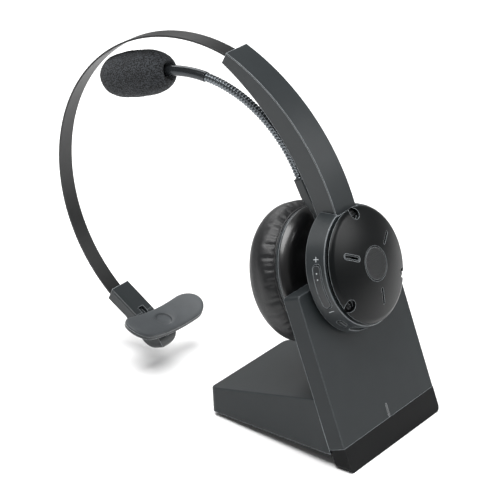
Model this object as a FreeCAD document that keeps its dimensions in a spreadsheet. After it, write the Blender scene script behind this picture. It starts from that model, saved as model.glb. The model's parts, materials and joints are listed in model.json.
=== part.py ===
# Wireless office headset with one ear cup, docked on its charging stand.
#
# The stand's plate leans back. Places on the headset and the plate are given in the plate's side view:
# "back" is the distance behind the plate's front plane and "up" is the distance up the plate.
# A sub-part's own frame has X along the plate's width, and its Y and Z turned about X. The base's frame
# slopes down to the rear by base_tilt, along the base's underside.
import FreeCAD, Part
import math
import os
import Sketcher

SIZES = {
    # stand
    "lean": 21, "stand_width": 68, "plate_thick": 8, "plate_height": 78.5, "wall": 2, "gap": 0.1,
    "foot_height": 11.25, "notch_radius": 13.3, "base_tilt": 3.5, "base_half": 27.7, "base_length": 77.4,
    "base_lift": 6.45, "base_rear": 11.2, "base_front": 23.48, "corner": 3, "floor_thick": 1.8,
    "boss_radius": 3, "boss_x": 22, "boss_front": 22.6, "boss_rear": 70.5, "screw_radius": 1.1,
    "foot_radius": 5.2, "foot_x": 17.5, "foot_y": 63, "foot_well": 0.7,
    "inlet_width": 8.9, "inlet_height": 3.2, "inlet_depth": 7.3, "inlet_up": 11.25,
    "window_width": 0.9, "window_length": 6, "window_up": 14.6,
    "pin_radius": 0.75, "pin_pitch": 3, "pin_up": 60.1, "pin_reach": 1,
    # ear cup, measured from the cup's axis and along it
    "cup_up": 79.1, "cup_back": 1.3, "ring_radius": 27.5, "ring_front_radius": 25.45,
    "ring_front": 9.8, "shell": 1.6, "collar_radius": 13, "collar_back": 2, "shaft_radius": 8.95,
    "shaft_fit": 0.05, "rim_radius": 24.6, "rim_front": 11.3, "dome_radius": 22.6, "dome_edge": 13,
    "dome_top": 16.4, "dome_curve": 67, "button_radius": 6.95, "screw_circle": 22.3, "post_circle": 21,
    "post_radius": 2.9, "rocker_half": 20.5, "rocker_width": 3, "rocker_front": 6.2,
    "power_turn": 224, "port_turn": 246,
    "boom_front": 2.3, "boom_back": 5.9, "inner_front": 6.2, "flange_radius": 27.4,
    "flange_back": 12.9, "cushion_radius": 30.07, "cushion_front": 14.8, "cushion_back": 31,
    "ear_hole": 14, "cone_radius": 12,
    # arm, headband and temple pad
    "arm_width": 14, "arm_cover": 0.6, "arm_outer": 102, "arm_inner": 122, "arm_root": 103,
    "band_back": 69.9, "band_up": 116.8, "band_radius": 74, "band_thick": 0.8, "band_width": 8,
    "band_entry": 127.5, "band_hidden": 29.4, "band_end": -37.2, "slider_span": 6, "band_travel": 15.5,
    "sleeve_width": 12, "pad_back": 110.1, "pad_up": 64.1, "pad_turn": 37.4, "pad_spin": -5,
    "pad_length": 44.8, "pad_width": 15.1, "pad_curve": 61.6, "pad_skin": 1.2, "pad_shell": 1.4,
    "ball_depth": 7.5, "ball_radius": 2.8, "socket_radius": 4.2,
    # boom
    "lever_width": 7, "boom_ring": 12.8, "neck_back": 69.4, "neck_up": 114.3, "neck_curve": 60.2,
    "neck_start": 176.5, "neck_end": 116, "tube_end": 94, "neck_radius": 2, "tube_radius": 2.3,
    "mic_length": 30, "capsule_radius": 4.8, "foam_radius": 10.1, "foam_half": 19.7, "foam_set": 14.55,
}
DESK = "lean"
BASE = "lean - base_tilt"
PLATE = "90"
NODES = []

doc = FreeCAD.newDocument("headset")
sheet = doc.addObject("Spreadsheet::Sheet", "sheet")
for row, (alias, size) in enumerate(SIZES.items(), start=1):
    sheet.set(f"A{row}", alias)
    sheet.set(f"B{row}", str(size))
    sheet.setAlias(f"B{row}", alias)
doc.recompute()


def named(expression):
    """Writes an expression of size names as one that reads them from the sheet."""
    words = sorted(SIZES, key=len, reverse=True)
    marked = expression
    for number, word in enumerate(words):
        marked = marked.replace(word, f"@{number}@")
    for number, word in enumerate(words):
        marked = marked.replace(f"@{number}@", f"sheet.{word}")
    return marked


def value(expression):
    """Works out an expression of size names."""
    return float(sheet.evalExpression(named(expression)))


def bind(item, place, expression):
    """Ties a property to an expression of size names."""
    item.setExpression(place, named(expression))


def make_body(label, back="0", up="0", turn=PLATE, across="0", spin="0"):
    """Starts a sub-part whose frame is at back and up in the side view, with its Y axis at turn there."""
    body = doc.addObject("PartDesign::Body", label)
    body.Label = label
    body.AllowCompound = True
    y = f"({back}) * cos(lean) + ({up}) * sin(lean) - plate_thick / 2 / cos(lean)"
    z = f"({up}) * cos(lean) - ({back}) * sin(lean)"
    turned = f"rotation(vector(1; 0; 0); {turn} - lean) * rotation(vector(0; 0; 1); {spin})"
    bind(body, "Placement", f"placement(vector({across}; {y}; {z}); {turned})")
    NODES.append(body)
    return body


def make_sketch(body, role, lift="0", turn="0", offset=None):
    """Adds a sketch on an origin plane, lifted along its normal and turned about its upright axis."""
    sketch = body.newObject("Sketcher::SketchObject", body.Label + "_sketch")
    plane = next(item for item in body.Origin.OriginFeatures if item.Role == role)
    sketch.AttachmentSupport = [(plane, "")]
    sketch.MapMode = "FlatFace"
    if offset is None:
        shift = f"vector(({lift}) * sin({turn}); 0; ({lift}) * cos({turn}))"
        offset = f"placement({shift}; rotation(vector(0; 1; 0); {turn}))"
    bind(sketch, "AttachmentOffset", offset)
    return sketch


def pin_down(sketch, kind, places, expression):
    """Adds one dimension to a sketch and ties it to the sheet."""
    number = sketch.addConstraint(Sketcher.Constraint(kind, *places, value(expression)))
    bind(sketch, f"Constraints[{number}]", expression)


def draw_outline(sketch, corners, arcs=None):
    """Draws a closed outline. arcs gives an edge's radius, above 0 where it bulges to the right of travel."""
    arcs = arcs or {}
    points = [FreeCAD.Vector(value(x), value(y), 0) for x, y in corners]
    first = sketch.GeometryCount
    ends = []
    for edge, start in enumerate(points):
        end = points[(edge + 1) % len(points)]
        if edge not in arcs:
            sketch.addGeometry(Part.LineSegment(start, end), False)
            ends.append((1, 2))
            continue
        radius = value(arcs[edge])
        chord = end - start
        rise = abs(radius) - math.sqrt(max(radius * radius - chord.Length ** 2 / 4, 0))
        side = FreeCAD.Vector(chord.y, -chord.x, 0).normalize() * math.copysign(rise, radius)
        sketch.addGeometry(Part.Arc(start, (start + end) * 0.5 + side, end), False)
        begins = sketch.getPoint(first + edge, 1).distanceToPoint(start) < 1e-6
        ends.append((1, 2) if begins else (2, 1))
    for edge in range(len(points)):
        following = (edge + 1) % len(points)
        joined = (first + edge, ends[edge][1], first + following, ends[following][0])
        sketch.addConstraint(Sketcher.Constraint("Coincident", *joined))
    for edge, (x, y) in enumerate(corners):
        pin_down(sketch, "DistanceX", (-1, 1, first + edge, ends[edge][0]), x)
        pin_down(sketch, "DistanceY", (-1, 1, first + edge, ends[edge][0]), y)
    for edge, radius in arcs.items():
        chord = points[(edge + 1) % len(points)] - points[edge]
        if abs(value(radius)) > chord.Length / 2 + 1e-6:
            pin_down(sketch, "Radius", (first + edge,), f"abs({radius})")


def draw_circle(sketch, x, y, radius):
    """Draws a circle."""
    centre = FreeCAD.Vector(value(x), value(y), 0)
    circle = sketch.addGeometry(Part.Circle(centre, FreeCAD.Vector(0, 0, 1), value(radius)), False)
    pin_down(sketch, "DistanceX", (-1, 1, circle, 3), x)
    pin_down(sketch, "DistanceY", (-1, 1, circle, 3), y)
    pin_down(sketch, "Radius", (circle,), radius)


def box_corners(half_x, low_y, high_y):
    """Gives the corners of a rectangle that is centred across."""
    return [(f"-({half_x})", low_y), (half_x, low_y), (half_x, high_y), (f"-({half_x})", high_y)]


def draw_slot(sketch, x, y, length, width, upright=False):
    """Draws a slot with round ends, centred at x and y."""
    half = f"(({length}) - ({width})) / 2"
    side = f"({width}) / 2"
    corners = [(f"{x} - {half}", f"{y} - {side}"), (f"{x} + {half}", f"{y} - {side}"),
               (f"{x} + {half}", f"{y} + {side}"), (f"{x} - {half}", f"{y} + {side}")]
    if upright:
        corners = [(f"{x} + {side}", f"{y} - {half}"), (f"{x} + {side}", f"{y} + {half}"),
                   (f"{x} - {side}", f"{y} + {half}"), (f"{x} - {side}", f"{y} - {half}")]
    draw_outline(sketch, corners, {1: side, 3: side})


def add_pad(body, sketch, length, both=False, back=False, kind="PartDesign::Pad"):
    """Extrudes a sketch, or with kind Pocket cuts it away, and checks that it changed the solid."""
    before = body.Shape.Volume if body.Tip and not body.Shape.isNull() else 0.0
    feature = body.newObject(kind, body.Label + "_" + kind.split("::")[1].lower())
    feature.Profile = sketch
    feature.Reversed = back
    bind(feature, "Length", length)
    if both:
        feature.SideType = "Symmetric"
    doc.recompute()
    if abs(body.Shape.Volume - before) < 1e-4:
        raise ValueError(f"{feature.Label} changed nothing")
    return feature


def add_pocket(body, sketch, length, both=False, back=False):
    """Cuts a sketch out of a body. back sends the cut along the sketch's normal."""
    return add_pad(body, sketch, length, both, back, "PartDesign::Pocket")


def add_turning(body, corners, arcs=None, angle="360", both=False):
    """Turns an outline of radius and height about the body's Z axis."""
    sketch = make_sketch(body, "XZ_Plane")
    draw_outline(sketch, corners, arcs)
    feature = body.newObject("PartDesign::Revolution", body.Label + "_turning")
    feature.Profile = sketch
    feature.ReferenceAxis = (sketch, ["V_Axis"])
    feature.Midplane = both
    bind(feature, "Angle", angle)
    doc.recompute()
    return feature


def add_rounding(body, radius, chosen, kind="PartDesign::Fillet"):
    """Rounds the edges that chosen(middle, edge) picks, with middle in the body's own frame."""
    base = body.Tip
    shape = base.Shape
    names = [f"Edge{number}" for number, edge in enumerate(shape.Edges, start=1)
             if chosen(edge.valueAt((edge.FirstParameter + edge.LastParameter) / 2), edge)]
    if not names:
        raise ValueError(f"{body.Label} has no such edge")
    feature = body.newObject(kind, body.Label + "_rounding")
    feature.Base = (base, names)
    bind(feature, "Radius" if kind.endswith("Fillet") else "Size", radius)
    doc.recompute()
    if "Invalid" in feature.State:
        raise ValueError(f"{body.Label} can't be rounded by {radius}")
    return feature


def near(first, second, slack=0.02):
    """Says whether two sizes agree."""
    return abs(first - second) < slack


def add_around(body, feature, count):
    """Repeats a feature evenly about the body's Z axis."""
    pattern = body.newObject("PartDesign::PolarPattern", body.Label + "_pattern")
    pattern.Originals = [feature]
    axis = next(item for item in body.Origin.OriginFeatures if item.Role == "Z_Axis")
    pattern.Axis = (axis, [""])
    pattern.Angle = 360
    pattern.Occurrences = count
    body.Tip = pattern
    doc.recompute()
    return pattern


def side_places(points):
    """Turns places of back and up into a side sketch's places."""
    return [(up, f"-({back})") for back, up in points]


# ---------------------------------------------------------------- stand

def plate_outline(inset):
    """Gives the plate's front outline, with its notch, set in from its edges."""
    half = f"sqrt((notch_radius + {inset}) ^ 2 - (cup_up - plate_height + {inset}) ^ 2)"
    side = f"stand_width / 2 - ({inset})"
    top = f"plate_height - ({inset})"
    bottom = f"foot_height + ({inset})"
    corners = [(f"-({side})", bottom), (side, bottom), (side, top), (half, top),
               (f"-({half})", top), (f"-({side})", top)]
    return corners, {3: f"-(notch_radius + {inset})"}


def build_stand_plate():
    body = make_body("stand_plate")
    sketch = make_sketch(body, "XY_Plane")
    draw_outline(sketch, *plate_outline("0"))
    add_pad(body, sketch, "plate_thick", back=True)
    half = value("stand_width / 2")
    add_rounding(body, "1.5", lambda middle, edge: near(abs(middle.x), half)
                 and near(middle.y, value("plate_height")))
    add_rounding(body, "0.4", lambda middle, edge: near(middle.z, 0)
                 and middle.y > value("foot_height") + 1)
    hollow = make_sketch(body, "XY_Plane", "-plate_thick")
    draw_outline(hollow, *plate_outline("wall"))
    add_pocket(body, hollow, "plate_thick - wall", back=True)
    window = make_sketch(body, "XY_Plane")
    draw_slot(window, "0", "window_up", "window_length", "window_width", upright=True)
    add_pocket(body, window, "wall + 1")
    holes = make_sketch(body, "XY_Plane")
    for step in ("-1.5", "-0.5", "0.5", "1.5"):
        draw_circle(holes, f"{step} * pin_pitch", "pin_up", "pin_radius + gap")
    add_pocket(body, holes, "wall + 1")


def build_stand_back():
    body = make_body("stand_back")
    sketch = make_sketch(body, "XY_Plane", "-plate_thick")
    draw_outline(sketch, *plate_outline("wall + gap"))
    add_pad(body, sketch, "shell")


def build_front_foot():
    body = make_body("front_foot")
    sketch = make_sketch(body, "YZ_Plane")
    draw_outline(sketch, [("0", "0"), ("foot_height", "0"), ("foot_height", "-plate_thick"),
                          ("plate_thick * tan(lean)", "-plate_thick")])
    add_pad(body, sketch, "stand_width", both=True)
    half = value("stand_width / 2")
    low = value("plate_thick * tan(lean) / 2")
    add_rounding(body, "2.5", lambda middle, edge: near(abs(middle.x), half) and near(middle.y, low, 0.1))
    add_rounding(body, "1.4", lambda middle, edge: near(middle.z, value("-plate_thick"))
                 and near(middle.y, 2 * low) and near(middle.x, 0))


def base_profile(inset):
    """Gives the base's side outline, set in from its walls and open at its underside."""
    lean_back = f"plate_thick / cos({BASE})"
    top = f"base_lift + base_front - ({inset})"
    return [(f"{lean_back} + base_lift * tan({BASE}) + ({inset}) / cos({BASE})", "base_lift"),
            (f"base_length - ({inset})", "base_lift"),
            (f"base_length - ({inset})", f"base_lift + base_rear - ({inset})"),
            (f"{lean_back} + ({top}) * tan({BASE}) + ({inset}) / cos({BASE})", top)]


def build_stand_base():
    body = make_body("stand_base", turn=BASE)
    sketch = make_sketch(body, "YZ_Plane")
    draw_outline(sketch, base_profile("0"))
    add_pad(body, sketch, "stand_width", both=True)
    sides = make_sketch(body, "XY_Plane", "base_lift - 1")
    for side in ("-", ""):
        draw_outline(sides, [(f"{side}stand_width / 2", "14"), (f"{side}(stand_width / 2 + 3)", "14"),
                             (f"{side}(stand_width / 2 + 3)", "base_length + 1"),
                             (f"{side}base_half", "base_length + 1")])
    add_pocket(body, sides, "base_front + 2", back=True)
    least = value("base_half") - 1
    end = value("base_length")
    add_rounding(body, "corner", lambda middle, edge: abs(middle.x) > least and near(middle.y, end))
    add_rounding(body, "0.7", lambda middle, edge: middle.z > value("base_lift + base_rear") - 0.1
                 and middle.y > value("base_lift + base_front") * 0.9)
    hollow = make_sketch(body, "YZ_Plane")
    draw_outline(hollow, base_profile("wall"))
    add_pocket(body, hollow, "2 * (base_half - wall)", both=True)
    for place, length in (("boss_rear", "base_rear - floor_thick + 0.6"),
                          ("boss_front", "base_front - floor_thick - wall - 0.2")):
        bosses = make_sketch(body, "XY_Plane", "base_lift + floor_thick")
        for side in ("-boss_x", "boss_x"):
            draw_circle(bosses, side, place, "boss_radius")
        add_pad(body, bosses, length)
    holes = make_sketch(body, "XY_Plane", "base_lift + floor_thick")
    for place in ("boss_rear", "boss_front"):
        for side in ("-boss_x", "boss_x"):
            draw_circle(holes, side, place, "screw_radius + gap / 2")
    add_pocket(body, holes, "7", back=True)
    inlet = make_sketch(body, "XZ_Plane", "-base_length")
    draw_slot(inlet, "0", "inlet_up", "inlet_width + 0.5", "inlet_height + 0.5")
    add_pocket(body, inlet, "wall + 1", back=True)


def build_base_floor():
    body = make_body("base_floor", turn=BASE)
    sketch = make_sketch(body, "XY_Plane", "base_lift")
    front = f"(plate_thick + wall) / cos({BASE}) + (base_lift + floor_thick) * tan({BASE}) + gap"
    draw_outline(sketch, box_corners("base_half - wall - gap", front, "base_length - wall - gap"))
    add_pad(body, sketch, "floor_thick")
    holes = make_sketch(body, "XY_Plane", "base_lift")
    for place in ("boss_rear", "boss_front"):
        for side in ("-boss_x", "boss_x"):
            draw_circle(holes, side, place, "screw_radius + gap")
    add_pocket(body, holes, "floor_thick + 1", back=True)
    sinks = make_sketch(body, "XY_Plane", "base_lift")
    for place in ("boss_rear", "boss_front"):
        for side in ("-boss_x", "boss_x"):
            draw_circle(sinks, side, place, "2 * screw_radius + gap")
    add_pocket(body, sinks, "floor_thick / 2", back=True)
    wells = make_sketch(body, "XY_Plane", "base_lift")
    for side in ("-foot_x", "foot_x"):
        draw_circle(wells, side, "foot_y - 0.3", "foot_radius + 0.4")
    add_pocket(body, wells, "foot_well", back=True)


def build_floor_screws():
    body = make_body("floor_screws", turn=BASE)
    places = [(side, place) for place in ("boss_rear", "boss_front") for side in ("-boss_x", "boss_x")]
    heads = make_sketch(body, "XY_Plane", "base_lift")
    shanks = make_sketch(body, "XY_Plane", "base_lift")
    for side, place in places:
        draw_circle(heads, side, place, "2 * screw_radius")
        draw_circle(shanks, side, place, "screw_radius")
    add_pad(body, heads, "floor_thick / 2")
    add_pad(body, shanks, "floor_thick + 5.5")
    sockets = make_sketch(body, "XY_Plane", "base_lift")
    for side, place in places:
        draw_slot(sockets, side, place, "2.2", "0.6")
    add_pocket(body, sockets, "0.5", back=True)


def build_rear_foot(label, across):
    body = make_body(label, "foot_y * cos(lean)", "foot_y * sin(lean)", DESK, across)
    top = "(base_lift + foot_well - (foot_y + foot_radius) * sin(base_tilt)) / cos(base_tilt)"
    add_turning(body, [("0", "0"), ("foot_radius - 0.8", "0"), ("foot_radius", "0.8"),
                       ("foot_radius", top), ("0", top)], {1: "0.8"})


def build_ballast():
    body = make_body("ballast_plate", turn=BASE)
    sketch = make_sketch(body, "XY_Plane", "base_lift + floor_thick")
    draw_outline(sketch, box_corners("23.5", "27", "50"))
    add_pad(body, sketch, "3.5")


def build_charge_board():
    body = make_body("charge_board", turn=BASE)
    sketch = make_sketch(body, "XY_Plane", "base_lift + floor_thick")
    draw_outline(sketch, box_corners("15", "52", "base_length - wall - 0.5"))
    add_pad(body, sketch, "inlet_up - inlet_height / 2 - base_lift - floor_thick")


def build_inlet():
    shell = make_body("inlet_shell", turn=BASE)
    sketch = make_sketch(shell, "XZ_Plane", "-base_length + 0.4")
    draw_slot(sketch, "0", "inlet_up", "inlet_width", "inlet_height")
    add_pad(shell, sketch, "inlet_depth")
    mouth = make_sketch(shell, "XZ_Plane", "-base_length + 0.4")
    draw_slot(mouth, "0", "inlet_up", "inlet_width - 0.6", "inlet_height - 0.6")
    add_pocket(shell, mouth, "inlet_depth - 0.6", back=True)
    tongue = make_body("inlet_tongue", turn=BASE)
    leaf = make_sketch(tongue, "XZ_Plane", "-base_length + inlet_depth - 0.2")
    draw_outline(leaf, box_corners("3.3", "inlet_up - 0.35", "inlet_up + 0.35"))
    add_pad(tongue, leaf, "5.2", back=True)


def build_plate_electrics():
    pins = make_body("charge_pins")
    sketch = make_sketch(pins, "XY_Plane", "pin_reach")
    for step in ("-1.5", "-0.5", "0.5", "1.5"):
        draw_circle(sketch, f"{step} * pin_pitch", "pin_up", "pin_radius")
    add_pad(pins, sketch, "pin_reach + plate_thick - shell - gap", back=True)
    add_rounding(pins, "0.5", lambda middle, edge: near(middle.z, value("pin_reach")))
    block = make_body("pin_block")
    outline = make_sketch(block, "XY_Plane", "-wall")
    draw_outline(outline, box_corners("8", "pin_up - 2.4", "pin_up + 2.4"))
    add_pad(block, outline, "3.2", back=True)
    bores = make_sketch(block, "XY_Plane", "-wall")
    for step in ("-1.5", "-0.5", "0.5", "1.5"):
        draw_circle(bores, f"{step} * pin_pitch", "pin_up", "pin_radius + gap / 2")
    add_pocket(block, bores, "4")
    window = make_body("lamp_window")
    slot = make_sketch(window, "XY_Plane")
    draw_slot(slot, "0", "window_up", "window_length - gap", "window_width - gap", upright=True)
    add_pad(window, slot, "wall + 1", back=True)
    board = make_body("lamp_board")
    outline = make_sketch(board, "XY_Plane", "-wall - 1")
    draw_outline(outline, box_corners("7", "foot_height + wall + gap", "window_up + 8"))
    add_pad(board, outline, "1", back=True)


# ---------------------------------------------------------------- ear cup

def make_cup_body(label, spin="0"):
    """Starts a sub-part in the ear cup's frame: Z runs out of the cap, Y up the plate."""
    return make_body(label, up="cup_up", spin=spin)


RING_SLOPE = "(ring_radius - ring_front_radius) / (ring_front - cup_back - 0.6)"


def ring_radius_at(height):
    """Gives the ring's outer radius at a height above its rear edge's chamfer."""
    return f"ring_radius - (({height}) - cup_back - 0.6) * {RING_SLOPE}"


def build_housing():
    body = make_cup_body("ear_housing")
    floor = "cup_back + shell"
    add_turning(body, [
        ("shaft_radius + gap", "-collar_back"), ("collar_radius", "-collar_back"),
        ("collar_radius", "cup_back"), ("ring_radius - 0.6", "cup_back"),
        ("ring_radius", "cup_back + 0.6"), ("ring_front_radius", "ring_front - 0.2"),
        ("ring_front_radius - 0.2", "ring_front"), ("ring_front_radius - shell - 0.1", "ring_front"),
        ("ring_radius - shell - 0.3", floor), ("shaft_radius + gap", floor)], {3: "0.6"})
    posts = make_sketch(body, "XY_Plane", floor)
    draw_circle(posts, "0", "post_circle", "post_radius")
    add_around(body, add_pad(body, posts, "ring_front - cup_back - shell - 0.7"), 3)
    pilots = make_sketch(body, "XY_Plane", "ring_front - 0.7")
    draw_circle(pilots, "0", "screw_circle - 0.5", "0.95")
    add_around(body, add_pocket(body, pilots, "5"), 3)
    root = make_sketch(body, "XY_Plane", "ring_front + 1")
    draw_outline(root, box_corners("arm_width / 2 + gap", "arm_root - cup_up - gap", "ring_radius + 2"))
    add_pocket(body, root, "ring_front + 2")
    rocker = make_sketch(body, "YZ_Plane", "ring_radius + 2", "180")
    length = "2 * (ring_radius - 1) * sin(rocker_half) + 0.6"
    draw_slot(rocker, "0", "rocker_front", length, "rocker_width + 0.5")
    add_pocket(body, rocker, "7.2")
    power = make_sketch(body, "YZ_Plane", "ring_radius + 2", "power_turn")
    draw_slot(power, "0", "5.6", "5.5", "2.7")
    add_pocket(body, power, "6")
    port = make_sketch(body, "YZ_Plane", "ring_radius + 2", "port_turn")
    draw_slot(port, "0", "5.9", "inlet_width + 0.2", "inlet_height + 0.2")
    add_pocket(body, port, "6")
    contacts = make_sketch(body, "XY_Plane", "cup_back")
    for step in ("-1.5", "-0.5", "0.5", "1.5"):
        draw_circle(contacts, f"{step} * pin_pitch", "pin_up - cup_up", "1.25")
    add_pocket(body, contacts, "0.9", back=True)
    fixings = make_sketch(body, "XY_Plane", floor)
    for side in ("-4.4", "4.4"):
        draw_circle(fixings, side, "17", "0.9")
    add_pocket(body, fixings, "1")


def build_cap():
    body = make_cup_body("ear_cap")
    inner = "dome_top - shell"
    add_turning(body, [
        ("rim_radius - 2.6", "ring_front - 0.6"), ("rim_radius - 1.1", "ring_front - 0.6"),
        ("rim_radius - 1.1", "rim_front - 0.5"), ("rim_radius - 0.2", "rim_front - 0.5"),
        ("rim_radius", "rim_front"), ("dome_radius", "dome_edge"),
        ("button_radius + 0.4", "dome_top"), ("button_radius + 0.4", inner),
        ("dome_radius - 1", "dome_edge - 1.2"), ("rim_radius - 2.6", "rim_front - 0.2")],
        {4: "4", 5: "dome_curve", 7: "-dome_curve"})
    bosses = make_sketch(body, "XY_Plane", "ring_front - 0.6")
    draw_circle(bosses, "0", "post_circle", "post_radius - 0.3")
    add_around(body, add_pad(body, bosses, "2.8"), 3)
    seats = make_sketch(body, "XY_Plane", "rim_front - 0.4")
    draw_circle(seats, "0", "screw_circle", "2.5")
    add_around(body, add_pocket(body, seats, "8", back=True), 3)
    holes = make_sketch(body, "XY_Plane", "rim_front + 2")
    draw_circle(holes, "0", "screw_circle - 0.5", "1")
    add_around(body, add_pocket(body, holes, "8"), 3)
    slots = make_sketch(body, "XY_Plane", "dome_top + 1")
    draw_slot(slots, "0", "-14.2", "7.2", "1.1", upright=True)
    add_around(body, add_pocket(body, slots, "6"), 3)


def build_cap_pieces():
    screws = make_cup_body("cap_screws")
    head = make_sketch(screws, "XY_Plane", "rim_front - 0.4")
    draw_circle(head, "0", "screw_circle - 0.5", "1.75")
    add_around(screws, add_pad(screws, head, "1.2"), 3)
    add_rounding(screws, "0.5", lambda middle, edge: near(middle.z, value("rim_front + 0.8")))
    shank = make_sketch(screws, "XY_Plane", "rim_front - 0.4")
    draw_circle(shank, "0", "screw_circle - 0.5", "0.9")
    add_around(screws, add_pad(screws, shank, "6", back=True), 3)
    socket = make_sketch(screws, "XY_Plane", "rim_front + 0.8")
    draw_slot(socket, "0", "screw_circle - 0.5", "1.8", "0.5")
    add_around(screws, add_pocket(screws, socket, "0.6"), 3)
    lenses = make_cup_body("cap_lenses")
    slots = make_sketch(lenses, "XY_Plane", "dome_top - 3.6")
    draw_slot(slots, "0", "-14.2", "7", "0.9", upright=True)
    add_around(lenses, add_pad(lenses, slots, "1.1"), 3)


def build_mode_button():
    body = make_cup_body("mode_button")
    add_turning(body, [("0", "12.9"), ("2", "12.9"), ("2", "13.6"), ("button_radius + 0.8", "13.6"),
                       ("button_radius + 0.8", "14.3"), ("button_radius", "14.3"),
                       ("button_radius", "dome_top - 0.1"), ("button_radius - 0.3", "dome_top + 0.15"),
                       ("0", "dome_top + 0.15")], {6: "0.4"})


def build_volume_rocker():
    body = make_cup_body("volume_rocker")
    low = "rocker_front - rocker_width / 2"
    high = "rocker_front + rocker_width / 2"
    outer = [(f"-({ring_radius_at(height)} + 0.25)", height) for height in (low, high)]
    inner = [(f"-({ring_radius_at(height)} - shell)", height) for height in (high, low)]
    add_turning(body, outer + inner, angle="2 * rocker_half - 1", both=True)
    add_rounding(body, "1.4", lambda middle, edge: near(abs(edge.tangentAt(edge.FirstParameter).x), 1, 0.12)
                 and edge.Length < 2.5)
    pivot = make_sketch(body, "YZ_Plane", "ring_radius - 2.6", "180")
    draw_outline(pivot, box_corners("1.2", f"{low} + 0.4", f"{high} - 0.4"))
    add_pad(body, pivot, "2.2", back=True)


def build_side_controls():
    power = make_cup_body("power_button", "power_turn")
    cap = make_sketch(power, "YZ_Plane", "ring_radius - 3")
    draw_slot(cap, "0", "5.6", "5", "2.2")
    add_pad(power, cap, "2.5")
    flange = make_sketch(power, "YZ_Plane", "ring_radius - 4.2")
    draw_slot(flange, "0", "5.6", "6.6", "3.6")
    add_pad(power, flange, "1")
    port = make_cup_body("charge_port", "port_turn")
    shell = make_sketch(port, "YZ_Plane", "ring_radius - 2")
    draw_slot(shell, "0", "5.9", "inlet_width", "inlet_height")
    add_pad(port, shell, "4.6", back=True)
    mouth = make_sketch(port, "YZ_Plane", "ring_radius - 2")
    draw_slot(mouth, "0", "5.9", "inlet_width - 0.6", "inlet_height - 0.6")
    add_pocket(port, mouth, "4")
    switches = make_cup_body("side_switches")
    for turn, place in (("180", "6.4"), ("180", "-6.4"), ("power_turn", "0")):
        outline = make_sketch(switches, "YZ_Plane", "ring_radius - 7.2", turn)
        draw_outline(outline, [(f"{place} - 1.6", "4.6"), (f"{place} + 1.6", "4.6"),
                               (f"{place} + 1.6", "7.4"), (f"{place} - 1.6", "7.4")])
        add_pad(switches, outline, "2.2" if turn == "power_turn" else "2.1")


def build_cup_electrics():
    contacts = make_cup_body("dock_contacts")
    pads = make_sketch(contacts, "XY_Plane", "cup_back")
    for step in ("-1.5", "-0.5", "0.5", "1.5"):
        draw_circle(pads, f"{step} * pin_pitch", "pin_up - cup_up", "1.15")
    add_pad(contacts, pads, "0.85")
    battery = make_cup_body("battery")
    cell = make_sketch(battery, "XY_Plane", "4.6")
    draw_outline(cell, box_corners("14", "-9.5", "9.5"))
    add_pad(battery, cell, "3.1")
    add_rounding(battery, "1", lambda middle, edge: near(abs(middle.x), 14) and near(middle.z, 6.15))
    board = make_cup_body("main_board")
    disc = make_sketch(board, "XY_Plane", "8")
    draw_circle(disc, "0", "0", "17.4")
    add_pad(board, disc, "1")
    switch = make_cup_body("mode_switch")
    box = make_sketch(switch, "XY_Plane", "9")
    draw_outline(box, box_corners("2.6", "-2.6", "2.6"))
    add_pad(switch, box, "2.6")
    plunger = make_sketch(switch, "XY_Plane", "11.6")
    draw_circle(plunger, "0", "0", "1.5")
    add_pad(switch, plunger, "0.7")


def build_spindle():
    body = make_cup_body("spindle")
    flange = "cup_back + shell"
    add_turning(body, [("4", f"{flange} + 1.5"), ("4", "-inner_front - 3.1"),
                       ("shaft_radius", "-inner_front - 3.1"), ("shaft_radius", flange),
                       ("shaft_radius + 3", flange), ("shaft_radius + 3", f"{flange} + 1.5")])
    ring = make_cup_body("retaining_ring")
    add_turning(ring, [("shaft_radius + gap / 2", "-inner_front - 3"),
                       ("shaft_radius + 2.4", "-inner_front - 3"),
                       ("shaft_radius + 2.4", "-inner_front - 1.9"),
                       ("shaft_radius + gap / 2", "-inner_front - 1.9")])


def build_inner_cup():
    body = make_cup_body("inner_cup")
    add_turning(body, [
        ("shaft_radius + gap", "-inner_front"), ("shaft_radius + gap", "-inner_front - 1.8"),
        ("collar_radius - 0.8", "-inner_front - 1.8"), ("collar_radius + 1.4", "-inner_front - 3.4"),
        ("flange_radius - 6.2", "-inner_front - 3.8"), ("flange_radius - 1.7", "-flange_back + 0.8"),
        ("flange_radius - 1.7", "-flange_back - 0.5"), ("flange_radius - 0.5", "-flange_back - 0.5"),
        ("flange_radius", "-flange_back"), ("flange_radius", "-flange_back + 0.5"),
        ("flange_radius - 5.4", "-plate_thick - 0.8"), ("collar_radius", "-plate_thick - 0.4"),
        ("collar_radius", "-inner_front")],
        {4: "-7", 9: "7"})


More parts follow.
